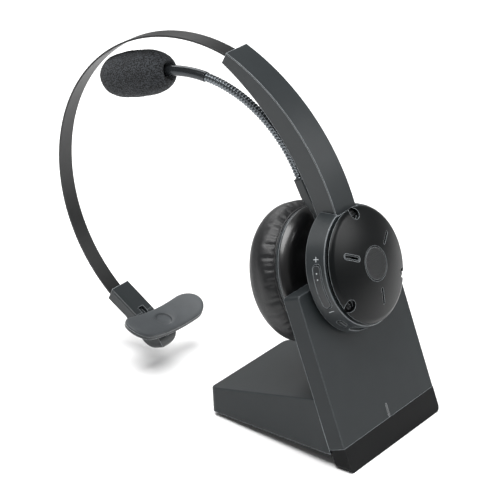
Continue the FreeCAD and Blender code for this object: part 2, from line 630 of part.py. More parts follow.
def build_speaker():
    baffle = make_cup_body("baffle")
    add_turning(baffle, [("cone_radius + 1.2", "-13.4"), ("25.3", "-13.4"), ("25.3", "-12.4"),
                         ("cone_radius + 1.2", "-12.4")])
    vents = make_sketch(baffle, "XY_Plane", "-12.4")
    draw_circle(vents, "0", "19.5", "1.5")
    add_around(baffle, add_pocket(baffle, vents, "2"), 12)
    frame = make_cup_body("speaker_frame")
    add_turning(frame, [("5.1", "-10.6"), ("cone_radius", "-10.6"), ("cone_radius", "-13.4"),
                        ("cone_radius + 1.1", "-13.4"), ("cone_radius + 1.1", "-9.6"), ("5.1", "-9.6")])
    magnet = make_cup_body("speaker_magnet")
    add_turning(magnet, [("0", "-12"), ("5", "-12"), ("5", "-9.5"), ("0", "-9.5")])
    cone = make_cup_body("speaker_cone")
    add_turning(cone, [("0", "-12.5"), ("6", "-12.8"), ("cone_radius - 0.1", "-12.4"),
                       ("cone_radius - 0.1", "-12.7"), ("6", "-13.1"), ("0", "-12.8")])
    grille = make_cup_body("speaker_grille")
    add_turning(grille, [("0", "-14.2"), ("ear_hole - 0.1", "-14.2"), ("ear_hole - 0.1", "-13.5"),
                         ("0", "-13.5")])
    for radius, count in (("3.5", 6), ("7", 12), ("10.5", 18)):
        holes = make_sketch(grille, "XY_Plane", "-13.5")
        draw_circle(holes, "0", radius, "0.8")
        add_around(grille, add_pocket(grille, holes, "2"), count)


def build_cushion():
    plate = make_cup_body("cushion_ring")
    add_turning(plate, [("ear_hole", "-cushion_front + 0.1"), ("flange_radius - 0.4", "-cushion_front + 0.1"),
                        ("flange_radius - 0.4", "-13.5"), ("ear_hole", "-13.5")])
    cushion = make_cup_body("ear_cushion")
    add_turning(cushion, [
        ("ear_hole", "-cushion_front"), ("ear_hole", "-cushion_back + 5"),
        ("22.5", "-cushion_back"), ("cushion_radius", "-23"), ("flange_radius - 0.2", "-cushion_front")],
        {1: "9", 2: "9.5", 3: "13"})
    cloth = make_cup_body("ear_cloth")
    add_turning(cloth, [("0", "-15.3"), ("ear_hole - 0.1", "-15.3"), ("ear_hole - 0.1", "-14.8"),
                        ("0", "-14.8")])


# ---------------------------------------------------------------- arm and headband

OUTER_TOP = ("22.3", "177.8")
INNER_TOP = ("26.4", "174.1")


def build_arm():
    cover = make_body("arm_cover")
    sketch = make_sketch(cover, "YZ_Plane")
    inner_top = ("22.3 + 0.7 * arm_cover", "177.8 - 0.71 * arm_cover")
    draw_outline(sketch, side_places([("-9.2", "arm_root"), OUTER_TOP, inner_top,
                                      ("-9.2 + arm_cover", "arm_root")]),
                 {0: "-arm_outer", 2: "arm_outer - arm_cover"})
    add_pad(cover, sketch, "arm_width", both=True)

    channel = make_body("arm_channel")
    sketch = make_sketch(channel, "YZ_Plane")
    shifted = ("22.3 + 0.7 * (arm_cover + 0.05)", "177.8 - 0.71 * (arm_cover + 0.05)")
    draw_outline(sketch, side_places([("-9.2 + arm_cover + 0.05", "arm_root"), shifted, INNER_TOP,
                                      ("0.9", "arm_root")]),
                 {0: "-(arm_outer - arm_cover)", 2: "arm_inner"})
    add_pad(channel, sketch, "arm_width - 0.4", both=True)
    slot = make_sketch(channel, "YZ_Plane")
    draw_outline(slot, *band_sector("band_entry - 3", "band_entry + band_hidden + 1.5",
                                    "-band_thick / 2 - 0.1", "band_thick / 2 + 0.1"))
    add_pocket(channel, slot, "band_width + 0.3", both=True)
    cavity = make_sketch(channel, "YZ_Plane")
    start = "band_entry + band_hidden - slider_span - band_travel - 0.6"
    draw_outline(cavity, *band_sector(start, "band_entry + band_hidden + 0.6",
                                      "-band_thick / 2 - 2.2", "-band_thick / 2 + 0.05"))
    add_pocket(channel, cavity, "10.4", both=True)
    tongue = make_sketch(channel, "XY_Plane", "cup_back + shell")
    draw_outline(tongue, box_corners("6", "cup_up + 15", "arm_root + 0.5"))
    add_pad(channel, tongue, "2")
    clear = make_sketch(channel, "XY_Plane", "cup_back + shell")
    draw_circle(clear, "0", "cup_up + post_circle", "post_radius + gap")
    add_pocket(channel, clear, "6", back=True)
    holes = make_sketch(channel, "XY_Plane", "cup_back + shell")
    for side in ("-4.4", "4.4"):
        draw_circle(holes, side, "cup_up + 17", "0.9")
    add_pocket(channel, holes, "4", back=True)

    screws = make_body("arm_screws")
    for lift, radius, length in (("cup_back + shell + 2", "1.5", "0.8"), ("cup_back + 0.8", "0.85", "3.2")):
        sketch = make_sketch(screws, "XY_Plane", lift)
        for side in ("-4.4", "4.4"):
            draw_circle(sketch, side, "cup_up + 17", radius)
        add_pad(screws, sketch, length)


def band_sector(start, end, inner, outer):
    """Gives a strip along the band's circle, between two angles and two offsets from its middle line."""
    corners = []
    for angle, offset in ((start, inner), (start, outer), (end, outer), (end, inner)):
        radius = f"(band_radius + ({offset}))"
        corners.append((f"band_back + {radius} * cos({angle})", f"band_up + {radius} * sin({angle})"))
    return side_places(corners), {1: f"band_radius + ({outer})", 3: f"-(band_radius + ({inner}))"}


def build_band():
    body = make_body("steel_band")
    sketch = make_sketch(body, "YZ_Plane")
    corners, arcs = band_sector("band_end", "band_entry + band_hidden", "-band_thick / 2", "band_thick / 2")
    middle, _ = band_sector("60", "60", "-band_thick / 2", "band_thick / 2")
    corners = [corners[0], corners[1], middle[1], corners[2], corners[3], middle[0]]
    draw_outline(sketch, corners, {1: arcs[1], 2: arcs[1], 4: arcs[3], 5: arcs[3]})
    add_pad(body, sketch, "band_width", both=True)
    slider = make_body("band_slider")
    sketch = make_sketch(slider, "YZ_Plane")
    draw_outline(sketch, *band_sector("band_entry + band_hidden - slider_span", "band_entry + band_hidden",
                                      "-band_thick / 2 - 2", "-band_thick / 2"))
    add_pad(slider, sketch, "10", both=True)


def build_sleeve():
    body = make_body("pad_sleeve")
    sketch = make_sketch(body, "YZ_Plane")
    draw_outline(sketch, side_places([
        ("130.3", "82"), ("120.3", "68.5"), ("119.4", "63.9"), ("111.4", "58.3"), ("111", "55.8"),
        ("114.6", "50.9"), ("118.9", "52.6"), ("125.8", "66.7"), ("134.5", "78")]),
        {4: "5", 5: "3.4"})
    add_pad(body, sketch, "sleeve_width", both=True)
    half = value("sleeve_width / 2")
    add_rounding(body, "0.8", lambda middle, edge: near(abs(middle.x), half) and middle.y > 66.8)
    slot = make_sketch(body, "YZ_Plane")
    draw_outline(slot, *band_sector("band_end - 0.3", "band_end + 10", "-band_thick / 2 - 0.05",
                                    "band_thick / 2 + 0.05"))
    add_pocket(body, slot, "band_width + 0.1", both=True)
    socket = "placement(vector(0; pad_up; -pad_back); rotation(vector(1; 0; 0); pad_turn - 90))"
    bore = make_sketch(body, "XY_Plane", offset=socket)
    draw_circle(bore, "0", "0", "socket_radius + gap / 2")
    add_pocket(body, bore, "13.4")
    latch = make_sketch(body, "YZ_Plane")
    draw_outline(latch, side_places([("121", "71.8"), ("117", "67"), ("119.6", "64.6"), ("123.6", "69.4")]))
    add_pocket(body, latch, "3.4", both=True)
    ends = make_sketch(body, "XY_Plane", "-pad_back + 8")
    draw_outline(ends, [("-sleeve_width / 2 - 1", "48"), ("sleeve_width / 2 + 1", "48"),
                        ("sleeve_width / 2 + 1", "56.8"), ("sleeve_width / 2", "56.8"),
                        ("-sleeve_width / 2", "56.8"), ("-sleeve_width / 2 - 1", "56.8")],
                 {3: "-sleeve_width / 2"})
    add_pocket(body, ends, "30")


def build_temple_pad():
    frame = {"back": "pad_back", "up": "pad_up", "turn": "pad_turn"}
    socket = make_body("ball_socket", **frame)
    add_turning(socket, [
        ("2", "-5"), ("2", "-ball_depth + sqrt((ball_radius + 0.05) ^ 2 - 4)"),
        ("ball_radius + 0.05", "-ball_depth"), ("ball_radius + 0.05", "-10.9"),
        ("socket_radius", "-10.9"), ("socket_radius", "-5")], {1: "-(ball_radius + 0.05)"})
    plug = make_body("socket_plug", **frame)
    add_turning(plug, [("0", "-12.6"), ("socket_radius", "-12.6"), ("socket_radius", "-10.95"),
                       ("0", "-10.95")])
    stud = make_body("ball_stud", **frame)
    ball_top = "-ball_depth + sqrt(ball_radius ^ 2 - 1.2 ^ 2)"
    add_turning(stud, [
        ("0", "-ball_depth - ball_radius"), ("ball_radius", "-ball_depth"), ("1.2", ball_top),
        ("1.2", "-2.6"), ("3", "-2.6"), ("3", "-1.6"), ("0", "-1.6")],
        {0: "ball_radius", 1: "ball_radius"})

    centre = "pad_curve"
    reach = "pad_length / 2 + 1"
    layers = {"pad_shell": ("-pad_skin", "-pad_skin - pad_shell"), "pad_skin": ("0", "-pad_skin")}
    for label, (front, rear) in layers.items():
        body = make_body("temple_" + label, spin="pad_spin", **frame)
        outline = make_sketch(body, "XY_Plane", "-6")
        draw_slot(outline, "0", "0", "pad_length", "pad_width")
        add_pad(body, outline, "16")
        for layer, far, sign in ((front, "14", ""), (rear, "-10", "-")):
            radius = f"(pad_curve - ({layer}))"
            rise = f"{centre} - sqrt({radius} ^ 2 - ({reach}) ^ 2)"
            cut = make_sketch(body, "XZ_Plane")
            corners = [(f"-({reach})", rise), (reach, rise), (reach, far), (f"-({reach})", far)]
            draw_outline(cut, corners, {0: radius})
            add_pocket(body, cut, "pad_width + 2", both=True)
        if label == "pad_shell":
            boss = make_sketch(body, "XY_Plane", "-3.9")
            draw_circle(boss, "0", "0", "3.9")
            add_pad(body, boss, "1.5")
            well = make_sketch(body, "XY_Plane", "-2.65")
            draw_circle(well, "0", "0", "3.05")
            add_pocket(body, well, "3", back=True)
            bore = make_sketch(body, "XY_Plane", "-4")
            draw_circle(bore, "0", "0", "1.25")
            add_pocket(body, bore, "3", back=True)
        else:
            dimple = make_sketch(body, "XY_Plane", "1")
            draw_circle(dimple, "0", "0", "3.8")
            add_pocket(body, dimple, "1.95")


# ---------------------------------------------------------------- boom

def build_boom():
    lever = make_body("boom_lever")
    profile = make_sketch(lever, "YZ_Plane")
    draw_outline(profile, side_places([
        ("boom_front + 0.3", "cup_up + 10"), ("boom_front + 0.3", "104"), ("4.4", "110.5"),
        ("6", "120"), ("10.6", "119.6"), ("9.6", "111.8"), ("8.3", "108.6"), ("boom_back - 0.3", "103"),
        ("boom_back - 0.3", "cup_up + 10")]))
    add_pad(lever, profile, "lever_width", both=True)
    add_rounding(lever, "0.8", lambda middle, edge: near(abs(middle.x), value("lever_width / 2"))
                 and middle.y > 104)
    ring = make_sketch(lever, "XY_Plane", "-boom_front")
    draw_circle(ring, "0", "cup_up", "boom_ring")
    add_pad(lever, ring, "boom_back - boom_front", back=True)
    bore = make_sketch(lever, "XY_Plane", "-boom_front + 1")
    draw_circle(bore, "0", "cup_up", "shaft_radius + shaft_fit")
    add_pocket(lever, bore, "boom_back - boom_front + 2")
    seat = make_sketch(lever, "XZ_Plane", "-121")
    draw_circle(seat, "0", "-(neck_back - neck_curve * cos(3))", "neck_radius + 0.05")
    add_pocket(lever, seat, "4.5", back=True)

    neck = make_body("gooseneck", "neck_back", "neck_up", "neck_start")
    add_bent_rod(neck, "neck_radius", "neck_curve", "neck_start - neck_end")
    mic_tube = make_body("mic_tube", "neck_back", "neck_up", "neck_end")
    add_bent_rod(mic_tube, "tube_radius", "neck_curve", "neck_end - tube_end")

    frame = {"back": "neck_back + neck_curve * cos(tube_end)", "up": "neck_up + neck_curve * sin(tube_end)",
             "turn": "tube_end"}
    capsule = make_body("mic_capsule", **frame)
    for lift, radius, length in (("0", "tube_radius", "mic_length - 12"),
                                 ("-mic_length + 12", "capsule_radius", "12")):
        sketch = make_sketch(capsule, "XY_Plane", lift)
        draw_circle(sketch, "0", "0", radius)
        add_pad(capsule, sketch, length, back=True)

    foam = make_body("windscreen", **frame)
    front = "-foam_set - foam_half"
    rear = "-foam_set + foam_half"
    bored = "capsule_radius + gap"
    side = "foam_radius - 1.3"
    tip = f"(({side}) ^ 2 + 7.5 ^ 2) / 2 / 7.5"
    tube_bore = "tube_radius + 0.6"
    add_turning(foam, [(bored, "-mic_length - gap"), (bored, "-mic_length + 12 + gap"),
                       (tube_bore, "-mic_length + 12 + gap"), (tube_bore, f"{rear} - 1.2"),
                       ("4.4", rear), (side, f"{rear} - 6.5"), (side, f"{front} + 7.5"),
                       ("0", front), ("0", "-mic_length - gap")],
                {4: "-7.5", 5: "-85", 6: f"-({tip})"})


def add_bent_rod(body, rod_radius, curve, angle):
    """Sweeps a round rod along an arc about the body's X axis, from its Y axis backwards."""
    sketch = make_sketch(body, "XY_Plane")
    draw_circle(sketch, "0", curve, rod_radius)
    feature = body.newObject("PartDesign::Revolution", body.Label + "_sweep")
    feature.Profile = sketch
    feature.ReferenceAxis = (sketch, ["H_Axis"])
    feature.Reversed = True
    bind(feature, "Angle", angle)
    doc.recompute()


# ---------------------------------------------------------------- the whole headset

build_stand_plate()
build_stand_back()
build_front_foot()
build_stand_base()
build_base_floor()
build_floor_screws()
build_rear_foot("rear_foot_left", "-foot_x")
build_rear_foot("rear_foot_right", "foot_x")
build_ballast()
build_charge_board()
build_inlet()
build_plate_electrics()
build_housing()
build_cap()
build_cap_pieces()
build_mode_button()
build_volume_rocker()
build_side_controls()
build_cup_electrics()
build_spindle()
build_inner_cup()
build_speaker()
build_cushion()
build_arm()
build_band()
build_sleeve()
build_temple_pad()
build_boom()
doc.recompute()

for item in doc.Objects:
    if "Invalid" in item.State or "Error" in item.State:
        raise RuntimeError(f"{item.Label} failed: {item.State}")
os.makedirs("parts", exist_ok=True)
for body in NODES:
    shape = body.Shape
    if shape.isNull() or not shape.isValid() or not shape.Solids:
        raise RuntimeError(f"{body.Label} has no sound solid")
    shape.exportStep(f"parts/{body.Label}.step")
    box = shape.BoundBox
    print(f"{body.Label}: {len(shape.Solids)} solid(s), {shape.Volume:.1f} mm3, "
          f"{box.XLength:.1f} x {box.YLength:.1f} x {box.ZLength:.1f} mm, lowest {box.ZMin:.2f}")
print(len(NODES), "nodes")
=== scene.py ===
"""Looks of a wireless one-ear office headset, docked on its leaning charging stand.

Lengths in the classes are in millimetres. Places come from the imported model: its joints give the ear cup's
axis and the temple pad's normal, and its nodes give the rest. Meshes are made in metres, in the same frame.
"""

import json
import logging
import math
import random
from collections.abc import Callable, Iterable, Sequence
from dataclasses import dataclass, field
from enum import Enum

import bpy
from mathutils import Matrix, Vector, noise


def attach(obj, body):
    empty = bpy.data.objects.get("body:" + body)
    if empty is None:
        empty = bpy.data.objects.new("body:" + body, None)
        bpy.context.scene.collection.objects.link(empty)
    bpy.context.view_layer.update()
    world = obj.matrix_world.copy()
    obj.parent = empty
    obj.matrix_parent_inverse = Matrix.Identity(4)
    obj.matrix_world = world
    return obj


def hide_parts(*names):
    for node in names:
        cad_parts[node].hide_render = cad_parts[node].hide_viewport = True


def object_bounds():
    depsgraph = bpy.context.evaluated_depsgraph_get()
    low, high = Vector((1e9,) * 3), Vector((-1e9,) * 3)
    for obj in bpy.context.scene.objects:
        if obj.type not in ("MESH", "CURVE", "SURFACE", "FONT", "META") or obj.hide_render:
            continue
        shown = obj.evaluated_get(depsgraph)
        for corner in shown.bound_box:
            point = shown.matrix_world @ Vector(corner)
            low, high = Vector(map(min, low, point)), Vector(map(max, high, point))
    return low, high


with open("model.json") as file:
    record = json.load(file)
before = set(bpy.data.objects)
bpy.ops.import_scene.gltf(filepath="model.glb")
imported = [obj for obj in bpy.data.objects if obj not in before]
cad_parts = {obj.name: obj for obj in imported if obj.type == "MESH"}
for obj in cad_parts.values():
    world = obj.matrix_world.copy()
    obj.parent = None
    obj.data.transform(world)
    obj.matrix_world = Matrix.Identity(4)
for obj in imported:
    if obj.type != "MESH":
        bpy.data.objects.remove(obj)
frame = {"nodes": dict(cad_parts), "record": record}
CAD_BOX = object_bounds()

MM = 0.001
LOG = logging.getLogger("headset")

Socket = bpy.types.NodeSocket
Tree = bpy.types.NodeTree
Node = bpy.types.Node
Profile = list[tuple[float, float]]
Crease = Callable[[float, int], Vector]


# ---------------------------------------------------------------- frames and meshes


@dataclass(frozen=True)
class Axes:
    """A frame fixed to one part: an origin in metres and three unit axes."""

    origin: Vector
    across: Vector
    up: Vector
    out: Vector

    @classmethod
    def facing(cls, origin: Vector, out: Vector) -> "Axes":
        """Makes the frame whose first axis runs across the stand and whose last one is out.

        Args:
            origin: the frame's origin, in metres.
            out: the direction of the last axis.

        Returns:
            The frame.
        """
        across = Vector((1, 0, 0))
        return cls(origin, across, out.cross(across).normalized(), out.normalized())

    def at(self, x: float, y: float, z: float) -> Vector:
        """Gives the point at x, y and z millimetres along the axes."""
        return self.origin + (self.across * x + self.up * y + self.out * z) * MM

    def polar(self, radius: float, angle: float, z: float) -> Vector:
        """Gives the point at a radius and an angle in radians about the last axis, z along it."""
        return self.at(radius * math.cos(angle), radius * math.sin(angle), z)

    def tipped(self, place: Vector, degrees: float) -> "Axes":
        """Gives this frame moved to a place and turned about its first axis."""
        turn = Matrix.Rotation(math.radians(degrees), 3, self.across)
        return Axes(place, self.across, turn @ self.up, turn @ self.out)

    def spun(self, degrees: float) -> "Axes":
        """Gives this frame turned about its last axis."""
        turn = Matrix.Rotation(math.radians(degrees), 3, self.out)
        return Axes(self.origin, turn @ self.across, turn @ self.up, self.out)


def joint_axes(name: str, lift: float = 0.0) -> Axes:
    """Gives the frame of one of the model's hinges.

    Args:
        name: the joint's name.
        lift: how far the origin stands off the hinge's own place, along its axis.

    Returns:
        The frame, with its last axis along the hinge.
    """
    joint = next(j for j in frame["record"]["behaviour"]["joints"] if j["name"] == name)
    axis = Vector(joint["axis"]).normalized()
    return Axes.facing(Vector(joint["pos_m"]) + axis * lift * MM, axis)


@dataclass
class Shell:
    """A mesh being made: its points and its faces."""

    points: list[Vector] = field(default_factory=list)
    faces: list[tuple[int, ...]] = field(default_factory=list)

    def add_ring(self, ring: Iterable[Vector]) -> list[int]:
        """Adds a ring of points.

        Args:
            ring: the points in order.

        Returns:
            Their numbers in the mesh.
        """
        first = len(self.points)
        self.points.extend(ring)
        return list(range(first, len(self.points)))

    def join(self, lower: Sequence[int], upper: Sequence[int]) -> None:
        """Joins two rings of as many points with faces; a ring of one point makes a fan.

        Args:
            lower: the first ring's numbers.
            upper: the second ring's numbers.
        """
        count = max(len(lower), len(upper))
        for i in range(count):
            k = (i + 1) % count
            if len(upper) == 1:
                self.faces.append((lower[i], lower[k], upper[0]))
            elif len(lower) == 1:
                self.faces.append((lower[0], upper[k], upper[i]))
            else:
                self.faces.append((lower[i], lower[k], upper[k], upper[i]))

    def loft(self, rings: Sequence[Iterable[Vector]], close: bool = False) -> None:
        """Skins a row of rings.

        Args:
            rings: the rings in order.
            close: whether the last one is joined to the first.
        """
        numbered = [self.add_ring(ring) for ring in rings]
        for lower, upper in zip(numbered, numbered[1:]):
            self.join(lower, upper)
        if close:
            self.join(numbered[-1], numbered[0])

    def make(self, name: str) -> bpy.types.Object:
        """Makes the object, with smooth faces that look outwards.

        Args:
            name: the piece's name.

        Returns:
            The object, in the scene.
        """
        mesh = bpy.data.meshes.new(name)
        mesh.from_pydata(self.points, [], self.faces)
        mesh.validate()
        made = bpy.data.objects.new(name, mesh)
        bpy.context.scene.collection.objects.link(made)
        face_outwards(mesh)
        for polygon in mesh.polygons:
            polygon.use_smooth = True
        return made


def face_outwards(mesh: bpy.types.Mesh) -> None:
    """Turns a closed mesh's faces so that they look outwards.

    Args:
        mesh: the mesh.
    """
    volume = 0.0
    for polygon in mesh.polygons:
        corners = [mesh.vertices[i].co for i in polygon.vertices]
        for second, third in zip(corners[1:], corners[2:]):
            volume += corners[0].dot(second.cross(third))
    if volume < 0:
        mesh.flip_normals()


def turned(axes: Axes, profile: Profile, count: int, crease: Crease | None = None) -> Shell:
    """Turns a profile of radius and height about a frame's last axis.

    Args:
        axes: the frame.
        profile: the radius and height of each ring, from one end to the other. A radius of 0 closes an end.
        count: the points in a ring.
        crease: gives what to add to a point, in radius and height, from its angle and its ring's number.

    Returns:
        The mesh.
    """
    rings = []
    for number, (radius, height) in enumerate(profile):
        ring = []
        for i in range(count if radius else 1):
            angle = 2 * math.pi * i / count
            more = crease(angle, number) if crease else Vector((0, 0))
            ring.append(axes.polar(radius + more.x, angle, height + more.y))
        rings.append(ring)
    shell = Shell()
    shell.loft(rings, close=bool(profile[0][0] and profile[-1][0]))
    return shell


def bow(start: tuple[float, float], end: tuple[float, float], rise: float, steps: int) -> Profile:
    """Gives places along a shallow arc, without its end.

    Args:
        start: where the arc starts.
        end: where it ends.
        rise: how far it stands to the left of the straight way, above 0 or below.
        steps: how many places to give.

    Returns:
        The places.
    """
    (ax, ay), (bx, by) = start, end
    length = math.hypot(bx - ax, by - ay)
    side = (-(by - ay) / length, (bx - ax) / length)
    places = []
    for i in range(steps):
        t = i / steps
        lift = rise * 4 * t * (1 - t)
        places.append((ax + (bx - ax) * t + side[0] * lift, ay + (by - ay) * t + side[1] * lift))
    return places


# ---------------------------------------------------------------- finishes


def linear(code: str) -> tuple[float, float, float, float]:
    """Turns an sRGB hex colour into a linear one.

    Args:
        code: the colour, such as #3c4043.

    Returns:
        Its linear red, green, blue and alpha.
    """
    channels = [int(code[i : i + 2], 16) / 255 for i in (1, 3, 5)]
    red, green, blue = (c / 12.92 if c <= 0.04045 else ((c + 0.055) / 1.055) ** 2.4 for c in channels)
    return red, green, blue, 1.0


def feed(tree: Tree, node: Node, feeds: dict) -> None:
    """Sets or links a node's inputs.

    Args:
        tree: the material's nodes.
        node: the node.
        feeds: what each input gets, by name or number: a socket to link or a constant.
    """
    for name, value in feeds.items():
        if isinstance(value, Socket):
            tree.links.new(value, node.inputs[name])
        else:
            node.inputs[name].default_value = value


def add_node(tree: Tree, kind: str, settings: dict | None = None, feeds: dict | None = None) -> Node:
    """Adds a node with its settings and links.

    Args:
        tree: the material's nodes.
        kind: the node's type, without its first word.
        settings: the node's own properties.
        feeds: what each input gets, by name or number: a socket to link or a constant.

    Returns:
        The node.
    """
    node = tree.nodes.new("ShaderNode" + kind)
    for name, setting in (settings or {}).items():
        setattr(node, name, setting)
    feed(tree, node, feeds or {})
    return node


def per_metre(size: float) -> float:
    """Gives a texture's scale from the size of its pattern in millimetres."""
    return 1 / (size * MM)


@dataclass(frozen=True)
class Finish:
    """What every finish has: a name, a colour and a roughness."""

    name: str
    colour: str
    roughness: float

    def make(self) -> bpy.types.Material:
        """Makes the material the first time, and gives the same one after that.

        Returns:
            The material.
        """
        found = bpy.data.materials.get(self.name)
        if found:
            return found
        material = bpy.data.materials.new(self.name)
        material.use_nodes = True
        tree = material.node_tree
        shader = tree.nodes["Principled BSDF"]
        feed(tree, shader, {"Base Color": linear(self.colour), "Roughness": self.roughness})
        self.texture(tree, shader, add_node(tree, "TexCoord").outputs["Object"])
        return material

    def texture(self, tree: Tree, shader: Node, place: Socket) -> None:
        """Adds the finish's own nodes. Each finish has its own.

        Args:
            tree: the material's nodes.
            shader: the material's shader.
            place: where on the piece.
        """
        raise NotImplementedError

    def mottle(self, tree: Tree, place: Socket, size: float, spread: float) -> Socket:
        """Gives the finish's colour, a little lighter and darker in patches.

        Args:
            tree: the material's nodes.
            place: where on the piece.
            size: how wide a patch is.
            spread: how far the tone moves either way, as a share.

        Returns:
            The colour.
        """
        patches = add_node(tree, "TexNoise", {}, {"Vector": place, "Scale": per_metre(size), "Detail": 3.0})
        base = linear(self.colour)
        ramp = add_node(tree, "ValToRGB", {}, {"Fac": patches.outputs["Fac"]})
        for stop, at, share in zip(ramp.color_ramp.elements, (0.3, 0.7), (1 - spread, 1 + spread)):
            stop.position = at
            stop.color = (*(min(c * share, 1) for c in base[:3]), 1)
        return ramp.outputs["Color"]

    def highlight_edges(self, tree: Tree, tone: Socket, radius: float, rim: str) -> tuple[Socket, Socket]:
        """Rounds sharp edges, and paints a highlight along them in a lighter colour.

        Args:
            tree: the material's nodes.
            tone: the colour away from the edges.
            radius: the edges' radius.
            rim: the colour of the painted highlight along the edges.

        Returns:
            The rounded normal and the colour with the painted highlight.
        """
        soft = add_node(tree, "Bevel", {"samples": 6}, {"Radius": radius * MM}).outputs["Normal"]
        straight = add_node(tree, "NewGeometry").outputs["Normal"]
        same = add_node(tree, "VectorMath", {"operation": "DOT_PRODUCT"}, {0: soft, 1: straight})
        # Painted highlight: a lighter colour is mixed in along the edges, where the rounded normal turns away
        # from the true one.
        edge = add_node(
            tree, "MapRange", {}, {"Value": same.outputs["Value"], "From Min": 1.0, "From Max": 0.94}
        ).outputs["Result"]
        highlighted = add_node(tree, "Mix", {"data_type": "RGBA"}, {"Factor": edge, "A": tone, "B": linear(rim)})
        return soft, highlighted.outputs["Result"]

    def ripples(self, tree: Tree, place: Socket, axes: Axes, pitch: float) -> list[Socket]:
        """Gives two crossed waves, along a frame's first two axes.

        Args:
            tree: the material's nodes.
            place: where on the piece.
            axes: the frame.
            pitch: how long a wave is.

        Returns:
            The waves, from -1 to 1.
        """
        waves = []
        for direction in (axes.across, axes.up):
            ends = {0: place, 1: tuple(direction)}
            along = add_node(tree, "VectorMath", {"operation": "DOT_PRODUCT"}, ends).outputs["Value"]
            turns = {0: along, 1: 2 * math.pi * per_metre(pitch)}
            phase = add_node(tree, "Math", {"operation": "MULTIPLY"}, turns).outputs[0]
            waves.append(add_node(tree, "Math", {"operation": "SINE"}, {0: phase}).outputs[0])
        return waves


@dataclass(frozen=True)
class MouldedABS(Finish):
    """ABS moulded in a spark-eroded tool: an even fine grain, and round edges with a painted highlight."""

    grain_size: float = 0.28
    grain_depth: float = 0.012
    edge_radius: float = 0.3
    # The colour of the painted highlight along the edges.
    edge_highlight_colour: str = "#8d9397"
    specular: float = 0.5
    patch: float = 9.0
    patch_spread: float = 0.05
    rough_spread: float = 0.06

    def texture(self, tree: Tree, shader: Node, place: Socket) -> None:
        """Lays the grain, the tone's slow drift, and the painted highlight along the edges.

        Args:
            tree: the material's nodes.
            shader: the material's shader.
            place: where on the piece.
        """
        tone = self.mottle(tree, place, self.patch, self.patch_spread)
        soft, colour = self.highlight_edges(tree, tone, self.edge_radius, self.edge_highlight_colour)
        grit = add_node(
            tree, "TexNoise", {}, {"Vector": place, "Scale": per_metre(self.grain_size), "Detail": 2.0}
        ).outputs["Fac"]
        low, high = self.roughness - self.rough_spread, self.roughness + self.rough_spread
        rough = add_node(tree, "MapRange", {}, {"Value": grit, "To Min": low, "To Max": high})
        relief = add_node(
            tree, "Bump", {}, {"Height": grit, "Distance": self.grain_depth * MM, "Normal": soft}
        )
        feed(tree, shader, {
            "Base Color": colour,
            "Roughness": rough.outputs["Result"],
            "Normal": relief.outputs["Normal"],
            "Specular IOR Level": self.specular,
        })


@dataclass(frozen=True)
class DomedABS(MouldedABS):
    """The ear cap's ABS: a matt dome inside a smooth bevel, with painted shade on the joint below it."""

    axes: Axes | None = None
    dome_radius: float = 22.6
    bevel_roughness: float = 0.3
    # Below this height the cap's side wall in the joint's groove gets painted shade.
    joint_shade_top: float = 11.2
    joint_shade_colour: str = "#060607"
    blend: float = 0.1

    def texture(self, tree: Tree, shader: Node, place: Socket) -> None:
        """Adds the smooth bevel outside the dome's radius and the painted shade on the joint below the rim.

        Args:
            tree: the material's nodes.
            shader: the material's shader.
            place: where on the piece.
        """
        super().texture(tree, shader, place)
        origin, out = tuple(self.axes.origin), tuple(self.axes.out)
        away = add_node(tree, "VectorMath", {"operation": "SUBTRACT"}, {0: place, 1: origin}).outputs[0]
        ends = {0: away, 1: out}
        sideways = add_node(tree, "VectorMath", {"operation": "CROSS_PRODUCT"}, ends).outputs[0]
        radius = add_node(tree, "VectorMath", {"operation": "LENGTH"}, {0: sideways}).outputs["Value"]
        height = add_node(tree, "VectorMath", {"operation": "DOT_PRODUCT"}, ends).outputs["Value"]
        edge, joint, soft = self.dome_radius * MM, self.joint_shade_top * MM, self.blend * MM
        outside = add_node(
            tree, "MapRange", {}, {"Value": radius, "From Min": edge - soft, "From Max": edge + soft}
        ).outputs["Result"]
        # Painted shade: the cap's side wall in the groove below the rim is made near black.
        below = add_node(
            tree, "MapRange", {}, {"Value": height, "From Min": joint, "From Max": joint - soft}
        ).outputs["Result"]
        matt = shader.inputs["Roughness"].links[0].from_socket
        tone = shader.inputs["Base Color"].links[0].from_socket
        rough = add_node(
            tree, "Mix", {"data_type": "FLOAT"}, {"Factor": outside, "A": matt, "B": self.bevel_roughness}
        )
        dark = add_node(
            tree, "Mix", {"data_type": "RGBA"}, {"Factor": below, "A": tone, "B": linear(self.joint_shade_colour)}
        )
        feed(tree, shader, {"Base Color": dark.outputs["Result"], "Roughness": rough.outputs["Result"]})


@dataclass(frozen=True)
class KnurledABS(MouldedABS):
    """The mode button's ABS: a fine square knurl that a fingertip finds."""

    axes: Axes | None = None
    pitch: float = 0.85
    knurl_depth: float = 0.035

    def texture(self, tree: Tree, shader: Node, place: Socket) -> None:
        """Lays the knurl over the grain, in the button's own directions.

        Args:
            tree: the material's nodes.
            shader: the material's shader.
            place: where on the piece.
        """
        super().texture(tree, shader, place)
        ridges = self.ripples(tree, place, self.axes, self.pitch)
        height = add_node(tree, "Math", {"operation": "ADD"}, {0: ridges[0], 1: ridges[1]}).outputs[0]
        under = shader.inputs["Normal"].links[0].from_socket
        relief = add_node(
            tree, "Bump", {}, {"Height": height, "Distance": self.knurl_depth * MM, "Normal": under}
        )
        feed(tree, shader, {"Normal": relief.outputs["Normal"]})


